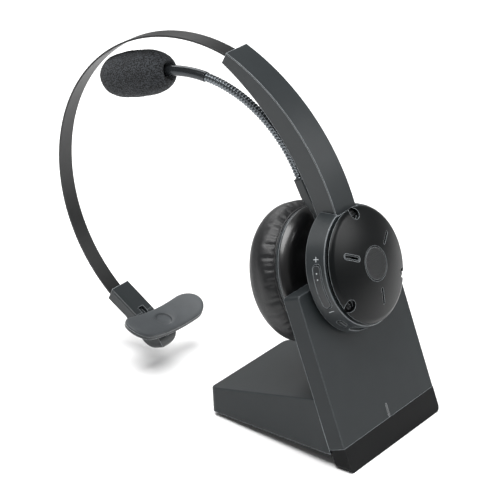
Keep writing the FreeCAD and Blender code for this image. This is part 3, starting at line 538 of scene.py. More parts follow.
@dataclass(frozen=True)
class PolishedABS(Finish):
    """ABS from a polished tool: a deep gloss with faint flow marks, and a painted highlight along the edges.
    """

    edge_radius: float = 0.3
    # The colour of the painted highlight along the edges.
    edge_highlight_colour: str = "#5c6063"
    patch: float = 12.0
    patch_spread: float = 0.08
    flow_size: float = 14.0
    flow_depth: float = 0.02
    smoothest: float = -0.04
    roughest: float = 0.08
    coat: float = 0.3
    coat_roughness: float = 0.12

    def texture(self, tree: Tree, shader: Node, place: Socket) -> None:
        """Lays the flow marks, rounds the edges and paints a highlight along them.

        Args:
            tree: the material's nodes.
            shader: the material's shader.
            place: where on the piece.
        """
        tone = self.mottle(tree, place, self.patch, self.patch_spread)
        soft, colour = self.highlight_edges(tree, tone, self.edge_radius, self.edge_highlight_colour)
        flow = add_node(
            tree, "TexNoise", {}, {"Vector": place, "Scale": per_metre(self.flow_size), "Detail": 4.0}
        ).outputs["Fac"]
        low, high = self.roughness + self.smoothest, self.roughness + self.roughest
        rough = add_node(tree, "MapRange", {}, {"Value": flow, "To Min": low, "To Max": high})
        relief = add_node(
            tree, "Bump", {}, {"Height": flow, "Distance": self.flow_depth * MM, "Normal": soft}
        )
        feed(tree, shader, {
            "Base Color": colour,
            "Roughness": rough.outputs["Result"],
            "Normal": relief.outputs["Normal"],
            "Coat Weight": self.coat,
            "Coat Roughness": self.coat_roughness,
        })


@dataclass(frozen=True)
class Metal(Finish):
    """Rolled or turned metal: fine lengthwise scratches and a painted highlight along each edge."""

    metallic: float = 1.0
    scratch: float = 0.25
    stretch: tuple[float, float, float] = (1.0, 1.0, 1.0)
    # The colour of the painted highlight along the edges.
    metal_edge_highlight: str = "#a7abae"
    edge_radius: float = 0.12
    patch: float = 5.0
    patch_spread: float = 0.06
    rough_spread: float = 0.07
    scratch_depth: float = 0.004

    def texture(self, tree: Tree, shader: Node, place: Socket) -> None:
        """Lays the scratches, rounds the edges and paints a highlight along them.

        Args:
            tree: the material's nodes.
            shader: the material's shader.
            place: where on the piece.
        """
        tone = self.mottle(tree, place, self.patch, self.patch_spread)
        soft, colour = self.highlight_edges(tree, tone, self.edge_radius, self.metal_edge_highlight)
        drawn = add_node(tree, "Mapping", {}, {"Vector": place, "Scale": self.stretch}).outputs["Vector"]
        lines = add_node(
            tree, "TexNoise", {}, {"Vector": drawn, "Scale": per_metre(self.scratch), "Detail": 4.0}
        ).outputs["Fac"]
        low, high = self.roughness - self.rough_spread, self.roughness + self.rough_spread
        rough = add_node(tree, "MapRange", {}, {"Value": lines, "To Min": low, "To Max": high})
        relief = add_node(
            tree, "Bump", {}, {"Height": lines, "Distance": self.scratch_depth * MM, "Normal": soft}
        )
        feed(tree, shader, {
            "Base Color": colour,
            "Roughness": rough.outputs["Result"],
            "Normal": relief.outputs["Normal"],
            "Metallic": self.metallic,
        })


@dataclass(frozen=True)
class Leatherette(Finish):
    """Polyurethane leatherette, embossed with a calf grain: small shiny cells between matt creases."""

    cell: float = 0.75
    cell_depth: float = 0.03
    crease_share: float = 0.22
    crease_roughness: float = 0.14
    wander: float = 2.4
    wander_reach: float = 0.4
    patch: float = 3.0
    patch_spread: float = 0.15
    sheen: float = 0.08
    specular: float = 0.42

    def texture(self, tree: Tree, shader: Node, place: Socket) -> None:
        """Lays the embossed cells, drawn a little coarser than the real 0.5 mm so that they show.

        Args:
            tree: the material's nodes.
            shader: the material's shader.
            place: where on the piece.
        """
        drift = add_node(
            tree, "TexNoise", {}, {"Vector": place, "Scale": per_metre(self.wander), "Detail": 2.0}
        ).outputs["Color"]
        moved = {0: drift, 1: (self.wander_reach * MM,) * 3, 2: place}
        bent = add_node(tree, "VectorMath", {"operation": "MULTIPLY_ADD"}, moved).outputs[0]
        spread = {"Vector": bent, "Scale": per_metre(self.cell)}
        cells = add_node(tree, "TexVoronoi", {"feature": "DISTANCE_TO_EDGE"}, spread).outputs["Distance"]
        rise = {"Value": cells, "From Max": self.crease_share}
        crown = add_node(tree, "MapRange", {"interpolation_type": "SMOOTHSTEP"}, rise).outputs["Result"]
        matt = self.roughness + self.crease_roughness
        rough = add_node(tree, "MapRange", {}, {"Value": crown, "To Min": matt, "To Max": self.roughness})
        relief = add_node(tree, "Bump", {}, {"Height": crown, "Distance": self.cell_depth * MM})
        feed(tree, shader, {
            "Base Color": self.mottle(tree, place, self.patch, self.patch_spread),
            "Roughness": rough.outputs["Result"],
            "Normal": relief.outputs["Normal"],
            "Sheen Weight": self.sheen,
            "Specular IOR Level": self.specular,
        })


@dataclass(frozen=True)
class OpenCellFoam(Finish):
    """Polyurethane foam with open cells: painted shade in the pits between thin pale struts."""

    cell: float = 0.62
    pit_depth: float = 0.7
    pit_shade_colour: str = "#020203"
    clump: float = 0.9
    sheen: float = 0.02
    sheen_roughness: float = 0.6

    def texture(self, tree: Tree, shader: Node, place: Socket) -> None:
        """Lays the cells, drawn coarser than the real 0.4 mm so that they show, with painted shade in their
        pits.

        Args:
            tree: the material's nodes.
            shader: the material's shader.
            place: where on the piece.
        """
        cells = add_node(
            tree, "TexVoronoi", {"feature": "F1"}, {"Vector": place, "Scale": per_metre(self.cell)}
        ).outputs["Distance"]
        clumps = add_node(
            tree, "TexNoise", {}, {"Vector": place, "Scale": per_metre(self.clump), "Detail": 3.0}
        ).outputs["Fac"]
        strut = add_node(tree, "Math", {"operation": "MULTIPLY"}, {0: cells, 1: clumps}).outputs[0]
        # Painted shade: near black in the middle of each cell, where the pits are.
        ramp = add_node(tree, "ValToRGB", {}, {"Fac": strut})
        for stop, at, colour in zip(ramp.color_ramp.elements, (0.16, 0.34), (self.pit_shade_colour, self.colour)):
            stop.position = at
            stop.color = linear(colour)
        relief = add_node(tree, "Bump", {}, {"Height": strut, "Distance": self.pit_depth * MM})
        feed(tree, shader, {
            "Base Color": ramp.outputs["Color"],
            "Normal": relief.outputs["Normal"],
            "Sheen Weight": self.sheen,
            "Sheen Roughness": self.sheen_roughness,
        })


@dataclass(frozen=True)
class Elastomer(Finish):
    """Moulded silicone or rubber: dull, with a powdery bloom."""

    grit: float = 0.35
    grit_depth: float = 0.015
    patch: float = 6.0
    patch_spread: float = 0.1
    sheen: float = 0.12
    sheen_roughness: float = 0.4

    def texture(self, tree: Tree, shader: Node, place: Socket) -> None:
        """Lays the bloom and a fine tooth.

        Args:
            tree: the material's nodes.
            shader: the material's shader.
            place: where on the piece.
        """
        tooth = add_node(
            tree, "TexNoise", {}, {"Vector": place, "Scale": per_metre(self.grit), "Detail": 3.0}
        ).outputs["Fac"]
        relief = add_node(tree, "Bump", {}, {"Height": tooth, "Distance": self.grit_depth * MM})
        feed(tree, shader, {
            "Base Color": self.mottle(tree, place, self.patch, self.patch_spread),
            "Normal": relief.outputs["Normal"],
            "Sheen Weight": self.sheen,
            "Sheen Roughness": self.sheen_roughness,
        })


@dataclass(frozen=True)
class KnittedMesh(Finish):
    """Knitted polyester that sound passes through: a square lattice of yarns with dark holes."""

    axes: Axes | None = None
    yarn: float = 0.9
    yarn_depth: float = 0.12
    hole_colour: str = "#08080a"
    sheen: float = 0.3

    def texture(self, tree: Tree, shader: Node, place: Socket) -> None:
        """Lays the lattice, drawn coarser than the real 0.4 mm knit so that it shows.

        Args:
            tree: the material's nodes.
            shader: the material's shader.
            place: where on the piece.
        """
        waves = self.ripples(tree, place, self.axes, self.yarn)
        yarns = add_node(tree, "Math", {"operation": "MAXIMUM"}, {0: waves[0], 1: waves[1]}).outputs[0]
        lift = add_node(tree, "MapRange", {}, {"Value": yarns, "From Min": -1.0}).outputs["Result"]
        ramp = add_node(tree, "ValToRGB", {}, {"Fac": lift})
        for stop, at, colour in zip(ramp.color_ramp.elements, (0.25, 0.7), (self.hole_colour, self.colour)):
            stop.position = at
            stop.color = linear(colour)
        relief = add_node(tree, "Bump", {}, {"Height": lift, "Distance": self.yarn_depth * MM})
        feed(tree, shader, {
            "Base Color": ramp.outputs["Color"],
            "Normal": relief.outputs["Normal"],
            "Sheen Weight": self.sheen,
        })


@dataclass(frozen=True)
class Laminate(Finish):
    """Glass-epoxy board under solder resist, or a foil pouch: flat, with fine tracks or wrinkles."""

    pattern: float = 2.0
    metallic: float = 0.0
    pattern_depth: float = 0.03
    patch_spread: float = 0.25

    def texture(self, tree: Tree, shader: Node, place: Socket) -> None:
        """Lays the tracks as a cell pattern with slight relief.

        Args:
            tree: the material's nodes.
            shader: the material's shader.
            place: where on the piece.
        """
        tracks = add_node(
            tree, "TexVoronoi", {"distance": "MANHATTAN"}, {"Vector": place, "Scale": per_metre(self.pattern)}
        ).outputs["Distance"]
        relief = add_node(tree, "Bump", {}, {"Height": tracks, "Distance": self.pattern_depth * MM})
        feed(tree, shader, {
            "Base Color": self.mottle(tree, place, self.pattern, self.patch_spread),
            "Normal": relief.outputs["Normal"],
            "Metallic": self.metallic,
        })


@dataclass(frozen=True)
class PrintedInk(Finish):
    """Pad-printed ink: flat and a little uneven."""

    patch: float = 0.4
    patch_spread: float = 0.15

    def texture(self, tree: Tree, shader: Node, place: Socket) -> None:
        """Lays the ink's uneven tone."""
        feed(tree, shader, {"Base Color": self.mottle(tree, place, self.patch, self.patch_spread)})


@dataclass(frozen=True)
class MattFloor(Finish):
    """Pale matt board for the floor."""

    patch: float = 400.0
    patch_spread: float = 0.01

    def texture(self, tree: Tree, shader: Node, place: Socket) -> None:
        """Lays a faint drift of tone."""
        feed(tree, shader, {"Base Color": self.mottle(tree, place, self.patch, self.patch_spread)})


# ---------------------------------------------------------------- the headset's own frames and finishes

CUP = joint_axes("boom_swing", lift=4.0)
PAD = joint_axes("pad_swivel", lift=7.5)

# Each finish's edge colour, given below or left at its default, is a painted highlight along the edges.
STAND_ABS = MouldedABS("moulded_abs_graphite", "#222628", 0.48, edge_highlight_colour="#9ba1a5", specular=0.24)
FOOT_ABS = MouldedABS("moulded_abs_black", "#0a0b0c", 0.5, edge_highlight_colour="#1c1e20", specular=0.12)
CUP_ABS = MouldedABS("moulded_abs_charcoal", "#24282a", 0.36, edge_highlight_colour="#a4aaae", specular=0.42)
CAP_ABS = DomedABS("moulded_abs_cap", "#0a0c0d", 0.34, edge_highlight_colour="#8f9598", specular=0.15, axes=CUP)
BUTTON_ABS = KnurledABS("moulded_abs_button", "#0f1113", 0.4, edge_highlight_colour="#b4b9bc", specular=0.25, axes=CUP)
KEY_ABS = MouldedABS("moulded_abs_key", "#222527", 0.4, edge_highlight_colour="#7d8285")
GLOSS_ABS = PolishedABS("polished_abs_black", "#0a0a0b", 0.3)
BAND_STEEL = Metal("painted_spring_steel", "#060708", 0.42, 0.15, 0.3, (1.0, 0.15, 0.15), "#3c4043")
NECK_STEEL = Metal("blackened_coil_steel", "#6a6f73", 0.26, 0.9, 0.3, metal_edge_highlight="#6a6f73")
TUBE_STEEL = Metal("painted_tube_steel", "#3a3d40", 0.24, 0.7, 0.4)
SCREW_STEEL = Metal("black_zinc_steel", "#1c1d1e", 0.32, 0.8, 0.3)
PLATED_STEEL = Metal("nickel_plated_steel", "#8d9194", 0.26, 1.0, 0.2)
RAW_STEEL = Metal("rolled_steel", "#6c6f72", 0.45, 1.0, 0.6, (0.2, 1.0, 1.0))
GOLD_PLATE = Metal("gold_plated_brass", "#d6ad5b", 0.2, 1.0, 0.2, metal_edge_highlight="#e6c988")
LEATHERETTE = Leatherette("black_leatherette", "#0e0f11", 0.34)
FOAM = OpenCellFoam("open_cell_foam", "#34373b", 0.95)
PAD_RUBBER = Elastomer("soft_silicone_grey", "#383c3f", 0.5)
FOOT_RUBBER = Elastomer("moulded_rubber_black", "#141415", 0.75)
EAR_MESH = KnittedMesh("knitted_ear_mesh", "#2a2b2e", 0.85, axes=CUP)
BOARD = Laminate("glass_epoxy_board", "#14532d", 0.35)
CELL_FOIL = Laminate("aluminium_foil_pouch", "#9fa3a8", 0.3, 6.0, 0.9)
CONE_FILM = Laminate("polyester_cone_film", "#9a8f70", 0.3, 3.0)
SMOKED_LENS = PolishedABS("smoked_polycarbonate", "#08090a", 0.12)
MARK_INK = PrintedInk("pad_printed_grey", "#b4b9bc", 0.5)
PALE_BOARD = MattFloor("pale_matt_board", "#fbfbfb", 0.9)

SLOT_FINISHES = {
    "stand_shell": STAND_ABS,
    "foot_trim": FOOT_ABS,
    "cup_shell": CUP_ABS,
    "cup_gloss": GLOSS_ABS,
    "key_plastic": KEY_ABS,
    "screw_steel": SCREW_STEEL,
    "band_steel": BAND_STEEL,
    "tube_metal": TUBE_STEEL,
    "socket_steel": PLATED_STEEL,
    "ballast_steel": RAW_STEEL,
    "gold_contact": GOLD_PLATE,
    "rubber_foot": FOOT_RUBBER,
    "pad_rubber": PAD_RUBBER,
    "cushion_leather": LEATHERETTE,
    "foam_fabric": FOAM,
    "cloth_fabric": EAR_MESH,
    "board_green": BOARD,
    "cell_foil": CELL_FOIL,
    "lens_clear": SMOKED_LENS,
    "cone_film": CONE_FILM,
}
NODE_FINISHES = {"ear_cap": CAP_ABS, "mode_button": BUTTON_ABS}


def dress(piece: bpy.types.Object, finish: Finish) -> None:
    """Gives a piece one finish."""
    piece.data.materials.clear()
    piece.data.materials.append(finish.make())


def fit(piece: bpy.types.Object, finish: Finish, body: str, replaced: Sequence[str] = ()) -> None:
    """Dresses a new piece and fixes it to the model.

    Args:
        piece: the piece.
        finish: its finish.
        body: the body that it moves with.
        replaced: the nodes that it stands for.
    """
    dress(piece, finish)
    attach(piece, body)
    if replaced:
        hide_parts(*replaced)
    LOG.info("%s: %d faces, with %s", piece.name, len(piece.data.polygons), body)


# ---------------------------------------------------------------- soft pieces


@dataclass
class EarCushion:
    """The leatherette ring round the ear: a skin gathered into two seams, over foam."""

    hole: float = 14.15
    hole_lean: float = 0.2
    hole_depth: float = 6.5
    crown_radius: float = 22.3
    crown: float = -30.4
    widest: float = 29.2
    widest_depth: float = 22.8
    seam_radius: float = 27.0
    front: float = -14.9
    bulges: tuple[float, float, float] = (-1.7, -2.2, -0.9)
    ring_points: int = 232
    under_rings: int = 5
    gathers: int = 58
    gather_dent: float = 0.62
    gather_reach: tuple[float, float] = (3.5, 8.5)
    wave_scale: tuple[float, float] = (2.2, 0.22)
    wave: tuple[float, float] = (0.45, 0.25)
    held_depth: float = 0.6
    pressure: float = 2.5
    puff_limit: float = 1.1
    welt_radius: float = 0.55
    welt_height: float = -15.2
    welt_pinch: float = 0.04
    stitches: int = 45
    cloth_height: float = -15.35
    cloth_rise: float = 0.12
    cloth_slack: float = 0.05
    cloth_rings: int = 24
    yarn_thickness: float = 0.3

    def profile(self) -> Profile:
        """Gives the section, from the inner seam over the crown to the outer seam and back under the skin.

        Returns:
            The radius and height of each ring.
        """
        inner, outer = (self.hole, self.front), (self.seam_radius, self.front)
        low = (self.hole + self.hole_lean, self.crown + self.hole_depth)
        crown, wide = (self.crown_radius, self.crown), (self.widest, -self.widest_depth)
        inside, outside, tuck = self.bulges
        return [
            *bow(inner, low, 0.0, 7),
            *bow(low, crown, inside, 9),
            *bow(crown, wide, outside, 10),
            *bow(wide, outer, tuck, 9),
            *bow(outer, inner, 0.0, self.under_rings),
        ]

    def crease(self, dice: random.Random) -> Crease:
        """Gives the gathers: uneven pleats that start at a seam and die out on the crown.

        Args:
            dice: the seeded source of their places and depths.

        Returns:
            What to add to a point's radius and height, from its angle and its ring's number.
        """
        profile = self.profile()
        pleats = [
            (
                2 * math.pi * (i + dice.uniform(-0.4, 0.4)) / self.gathers,
                dice.uniform(0.25, 1.0),
                dice.uniform(*self.gather_reach),
            )
            for i in range(self.gathers)
        ]
        half_width = 0.8 * math.pi / self.gathers

        def add(angle: float, number: int) -> Vector:
            """Gives what the pleats and the slow waves add at one point.

            Args:
                angle: the point's angle.
                number: its ring's number.

            Returns:
                What to add to its radius and height.
            """
            radius, height = profile[number]
            from_seam = self.front - height
            if from_seam < 0.2 or number >= len(profile) - self.under_rings:
                return Vector((0, 0))
            dent = 0.0
            for middle, depth, reach in pleats:
                off = abs((angle - middle + math.pi) % (2 * math.pi) - math.pi) / half_width
                if off < 1 and from_seam < reach:
                    dent += depth * (1 - off) * math.sin(math.pi * min(1.0, 0.25 + 0.75 * from_seam / reach))
            around, along = self.wave_scale
            slow = noise.noise(Vector((math.cos(angle) * around, math.sin(angle) * around, height * along)))
            outward = 1.0 if radius > self.crown_radius else -1.0
            return Vector((outward * (slow * self.wave[0] - dent * self.gather_dent), slow * self.wave[1]))

        return add

    def build(self) -> None:
        """Makes the cushion, its welt and the mesh cloth over the speaker."""
        shell = turned(CUP, self.profile(), self.ring_points, self.crease(random.Random(7)))
        cushion = shell.make("ear_cushion_skin")
        seam = self.front - self.held_depth
        held = [v.index for v in cushion.data.vertices if self.depth_of(v.co) > seam]
        inflate(cushion, held, self.pressure, self.puff_limit)
        add_smoothing(cushion, 1)
        fit(cushion, LEATHERETTE, "ear_cup", ["ear_cushion"])
        self.build_welt()
        self.build_cloth()

    def depth_of(self, place: Vector) -> float:
        """Gives a point's height along the cup's axis."""
        return (place - CUP.origin).dot(CUP.out) / MM

    def build_welt(self) -> None:
        """Makes the piping that covers the outer seam."""
        shell = Shell()
        rings = []
        for i in range(4 * self.stitches):
            angle = 2 * math.pi * i / (4 * self.stitches)
            thick = self.welt_radius + self.welt_pinch * math.sin(angle * self.stitches)
            ring = []
            for k in range(10):
                t = 2 * math.pi * k / 10
                radius = self.seam_radius + thick * math.cos(t)
                ring.append(CUP.polar(radius, angle, self.welt_height + thick * math.sin(t)))
            rings.append(ring)
        shell.loft(rings, close=True)
        fit(shell.make("ear_cushion_welt"), LEATHERETTE, "ear_cup")

    def build_cloth(self) -> None:
        """Makes the knitted mesh over the speaker, a little slack between the struts behind it."""
        radius = self.hole - 0.25
        profile = [(0.0, self.cloth_height)]
        for i in range(1, self.cloth_rings + 1):
            r = radius * i / self.cloth_rings
            lift = self.cloth_rise * (r / radius) ** 4 + self.cloth_slack * math.cos(r * 1.8)
            profile.append((r, self.cloth_height + lift))
        cloth = turned(CUP, profile, 72).make("ear_mesh_cloth")
        thick = cloth.modifiers.new("yarn thickness", "SOLIDIFY")
        thick.thickness = self.yarn_thickness * MM
        thick.offset = 0.0
        fit(cloth, EAR_MESH, "ear_cup", ["ear_cloth"])


def inflate(piece: bpy.types.Object, held: Sequence[int], pressure: float, limit: float) -> None:
    """Puffs a skin out with cloth simulation, at ten times its size so that the solver's steps suit it.

    Args:
        piece: the closed skin.
        held: the points that the seams hold still.
        pressure: the pressure inside.
        limit: how far a point may move, in millimetres.
    """
    grow = 10.0
    mesh = piece.data
    rest = [v.co.copy() for v in mesh.vertices]
    mesh.transform(Matrix.Scale(grow, 4))
    piece.vertex_groups.new(name="held").add(list(held), 1.0, "REPLACE")
    cloth = piece.modifiers.new("puff", "CLOTH")
    settings = cloth.settings
    settings.quality = 5
    settings.mass = 0.3
    settings.tension_stiffness = 12
    settings.compression_stiffness = 12
    settings.bending_stiffness = 0.3
    settings.shrink_min = -0.04
    settings.use_pressure = True
    settings.uniform_pressure_force = pressure
    settings.vertex_group_mass = "held"
    settings.effector_weights.gravity = 0
    scene = bpy.context.scene
    for number in range(1, 16):
        scene.frame_set(number)
    puffed = piece.evaluated_get(bpy.context.evaluated_depsgraph_get()).to_mesh()
    moved = [v.co.copy() / grow for v in puffed.vertices]
    piece.modifiers.remove(cloth)
    scene.frame_set(1)
    for vertex, before, after in zip(mesh.vertices, rest, moved):
        step = after - before
        if step.length > limit * MM:
            step *= limit * MM / step.length
        vertex.co = before + step
    mesh.update()


def add_smoothing(piece: bpy.types.Object, levels: int) -> None:
    """Adds a subdivision surface.

    Args:
        piece: the piece.
        levels: how often each face is split.
    """
    smooth = piece.modifiers.new("smooth", "SUBSURF")
    smooth.levels = levels
    smooth.render_levels = levels


@dataclass
class Windscreen:
    """The foam sock over the microphone."""

    radius: float = 10.0
    half: float = 19.6
    squareness: float = 3.2
    mouth: float = 4.6
    recess: float = 1.4
    tube_bore: float = 2.9
    capsule_bore: float = 4.9
    capsule_start: float = -3.4
    capsule_end: float = -15.6
    steps: int = 64
    sides: int = 160
    rough: float = 0.16
    rough_scale: float = 1.15
    lump: float = 0.3
    lump_scale: float = 0.17

    def outer(self) -> Profile:
        """Gives the outer outline, from the closed tip to the mouth.

        Returns:
            The radius and height of each ring.
        """
        outline: Profile = [(0.0, -self.half)]
        for i in range(1, self.steps):
            z = -self.half * math.cos(math.pi * i / self.steps)
            r = self.radius * math.sqrt(max(0.0, 1 - abs(z / self.half) ** self.squareness))
            if z > 0 and r < self.mouth:
                break
            outline.append((r, z))
        return outline

    def bore(self, top: float) -> Profile:
        """Gives the bore for the tube and the capsule.

        Args:
            top: the height of the mouth's rim.

        Returns:
            The radius and height of each ring, from the rim to the closed end.
        """
        return [
            (self.mouth - 0.3, top + 0.1), (self.mouth - 0.7, top - 0.3),
            (self.tube_bore + 0.5, top - self.recess), (self.tube_bore, top - self.recess - 0.4),
            (self.tube_bore, self.capsule_start), (self.capsule_bore, self.capsule_start),
            (self.capsule_bore, self.capsule_end), (0.0, self.capsule_end),
        ]

    def build(self, centre: Axes) -> None:
        """Makes the foam.

        Args:
            centre: the frame at its middle, with its last axis along it.
        """
        outer = self.outer()

        def pits(angle: float, number: int) -> Vector:
            """Gives the foam's unevenness at one point.

            Args:
                angle: the point's angle.
                number: its ring's number.

            Returns:
                What to add to its radius and height.
            """
            if not 0 < number < len(outer):
                return Vector((0, 0))
            radius, z = outer[number]
            around = Vector((radius * math.cos(angle), radius * math.sin(angle), z))
            fine = noise.noise(around * self.rough_scale) * self.rough
            return Vector((fine + noise.noise(around * self.lump_scale) * self.lump, 0))

        foam = turned(centre, outer + self.bore(outer[-1][1]), self.sides, pits).make("windscreen_foam")
        fit(foam, FOAM, "boom", ["windscreen"])


@dataclass
class TemplePad:
    """The soft skin of the T-shaped pad that rests above the far ear."""

    length: float = 44.8
    width: float = 15.1
    curve: float = 61.6
    thick: float = 1.2
    edge: float = 0.85
    dimple: float = 3.8
    dimple_depth: float = 0.93
    spin: float = -5.0
    sides: int = 144
    face_shares: tuple[float, ...] = (0, 0.2, 0.45, 0.65, 0.8, 0.88, 0.93, 0.965, 0.985, 0.996, 1.0)

    def reach(self, angle: float) -> float:
        """Gives how far the pad's outline is from its middle.

        Args:
            angle: the direction from the middle.

        Returns:
            The distance.
        """
        end = self.width / 2
        half = self.length / 2 - end
        across, up = abs(math.cos(angle)), abs(math.sin(angle))
        if up > 1e-9 and end / up * across <= half:
            return end / up
        return half * across + math.sqrt(max(0.0, end * end - (half * up) ** 2))

    def edge_distance(self, x: float, y: float) -> float:
        """Gives a point's distance inside the outline."""
        half = (self.length - self.width) / 2
        return self.width / 2 - math.hypot(max(abs(x) - half, 0.0), y)

    def height(self, x: float) -> float:
        """Gives the curved face's height, which is 0 at its middle."""
        return self.curve - math.sqrt(self.curve**2 - x * x)

    def dimple_rings(self) -> Profile:
        """Gives the dimple's rings, as radius and drop below the face."""
        floor, lip = self.dimple_depth, self.dimple
        return [(1.5, floor), (3.1, floor - 0.02), (lip - 0.25, floor - 0.1), (lip, 0.3), (lip + 0.15, 0.08)]

    def build(self) -> None:
        """Makes the skin with its rolled edge and its round dimple."""
        axes = PAD.spun(self.spin)
        angles = [2 * math.pi * i / self.sides for i in range(self.sides)]
        rings: list[list[Vector]] = [[axes.at(0, 0, -self.dimple_depth)]]
        for radius, drop in self.dimple_rings():
            rings.append([
                axes.at(radius * math.cos(a), radius * math.sin(a), self.height(radius * math.cos(a)) - drop)
                for a in angles
            ])
        start = self.dimple + 0.35
        for share in self.face_shares:
            ring = []
            for a in angles:
                radius = start + (self.reach(a) - start) * share
                x, y = radius * math.cos(a), radius * math.sin(a)
                inside = min(self.edge_distance(x, y), self.edge)
                roll = self.edge - math.sqrt(max(0.0, self.edge**2 - (self.edge - inside) ** 2))
                ring.append(axes.at(x, y, self.height(x) - roll))
            rings.append(ring)
        for inset, depth in ((0.0, self.thick - 0.1), (0.5, self.thick)):
            ring = []
            for a in angles:
                x, y = (self.reach(a) - inset) * math.cos(a), (self.reach(a) - inset) * math.sin(a)
                ring.append(axes.at(x, y, self.height(x) - depth))
            rings.append(ring)
        rings.append([axes.at(0, 0, -self.thick)])
        shell = Shell()
        shell.loft(rings)
        skin = shell.make("temple_pad_soft_skin")
        fit(skin, PAD_RUBBER, "temple_pad", ["temple_pad_skin"])


# ---------------------------------------------------------------- hard pieces


@dataclass
class Gooseneck:
    """The boom's flexible neck: wire wound in a close helix along an arc."""

    centre_up: float = 35.2
    centre_back: float = 69.4
    curve: float = 60.2
    start: float = 176.5
    end: float = 116.0
    tube_end: float = 94.0
    radius: float = 2.0
    pitch: float = 1.5
    rib: float = 0.36
    sides: int = 20
    steps_per_turn: int = 12
    foam_set: float = 14.55

    def axes_at(self, degrees: float) -> Axes:
        """Gives the frame at a place on the arc.

        Args:
            degrees: the place's angle about the arc's centre.

        Returns:
            The frame, with its last axis along the neck.
        """
        turn = math.radians(degrees)
        place = CUP.at(
            0, self.centre_up + self.curve * math.sin(turn), -self.centre_back - self.curve * math.cos(turn)
        )
        return CUP.tipped(place, degrees - 90)

    def build(self) -> None:
        """Makes the coil and the foam."""
        span = math.radians(self.start - self.end) * self.curve
        turns = span / self.pitch
        steps = int(turns * self.steps_per_turn)
        rings = []
        for i in range(steps + 1):
            share = i / steps
            axes = self.axes_at(self.start + (self.end - self.start) * share)
            ring = []
            for k in range(self.sides):
                angle = 2 * math.pi * k / self.sides
                wave = abs(math.sin(math.pi * turns * share - angle / 2))
                ring.append(axes.polar(self.radius - self.rib + self.rib * wave, angle, 0))
            rings.append(ring)
        shell = Shell()
        rings.insert(0, [self.axes_at(self.start).origin])
        rings.append([self.axes_at(self.end).origin])
        shell.loft(rings)
        fit(shell.make("gooseneck_coil"), NECK_STEEL, "boom", ["gooseneck"])
        tip = self.axes_at(self.tube_end)
        along = CUP.tipped(tip.origin, self.tube_end - 90)
        Windscreen().build(Axes(along.at(0, 0, -self.foam_set), along.across, along.up, along.out))


class Mark(Enum):
    """The printed marks of the volume key."""

    PLUS = "plus"
    MINUS = "minus"
    DOT = "dot"


@dataclass
class SlotFrame:
    """The thin raised frame round the lamp slot on the cap's dome."""

    turn: float = 150.0
    middle: float = 14.2
    length: float = 8.6
    width: float = 2.9
    line: float = 0.32
    stand: float = 0.1
    sunk: float = -0.15
    bevel: float = 0.04
    points: int = 48
    button_radius: float = 7.35
    dome_radius: float = 22.6
    dome_top: float = 16.4
    dome_edge: float = 13.0
    dome_rise: float = 0.455

    def dome(self, radius: float) -> float:
        """Gives the dome's height.

        Args:
            radius: the distance from the cup's axis.

        Returns:
            The height along the axis.
        """
        share = (radius - self.button_radius) / (self.dome_radius - self.button_radius)
        fall = (self.dome_edge - self.dome_top) * share
        return self.dome_top + fall + self.dome_rise * 4 * share * (1 - share)

    def path(self, inset: float, lift: float) -> list[Vector]:
        """Gives a ring of points along the frame.

        Args:
            inset: how far inside the frame's outer edge.
            lift: how far above the dome.

        Returns:
            The points.
        """
        end = self.width / 2 - inset
        straight = (self.length - self.width) / 2
        axes = CUP.spun(self.turn)
        points = []
        for k in range(self.points):
            angle = 2 * math.pi * (k + 0.5) / self.points
            x = math.copysign(straight, math.cos(angle)) + end * math.cos(angle) + self.middle
            y = end * math.sin(angle)
            points.append(axes.at(x, y, self.dome(math.hypot(x, y)) + lift))
        return points

    def build(self) -> None:
        """Makes the frame as a closed bead."""
        shell = Shell()
        section = ((0.0, self.sunk), (self.bevel, self.stand), (self.line - self.bevel, self.stand),
                   (self.line, self.sunk))
        shell.loft([self.path(inset, lift) for inset, lift in section], close=True)
        fit(shell.make("lamp_slot_frame"), CUP_ABS, "ear_cup")


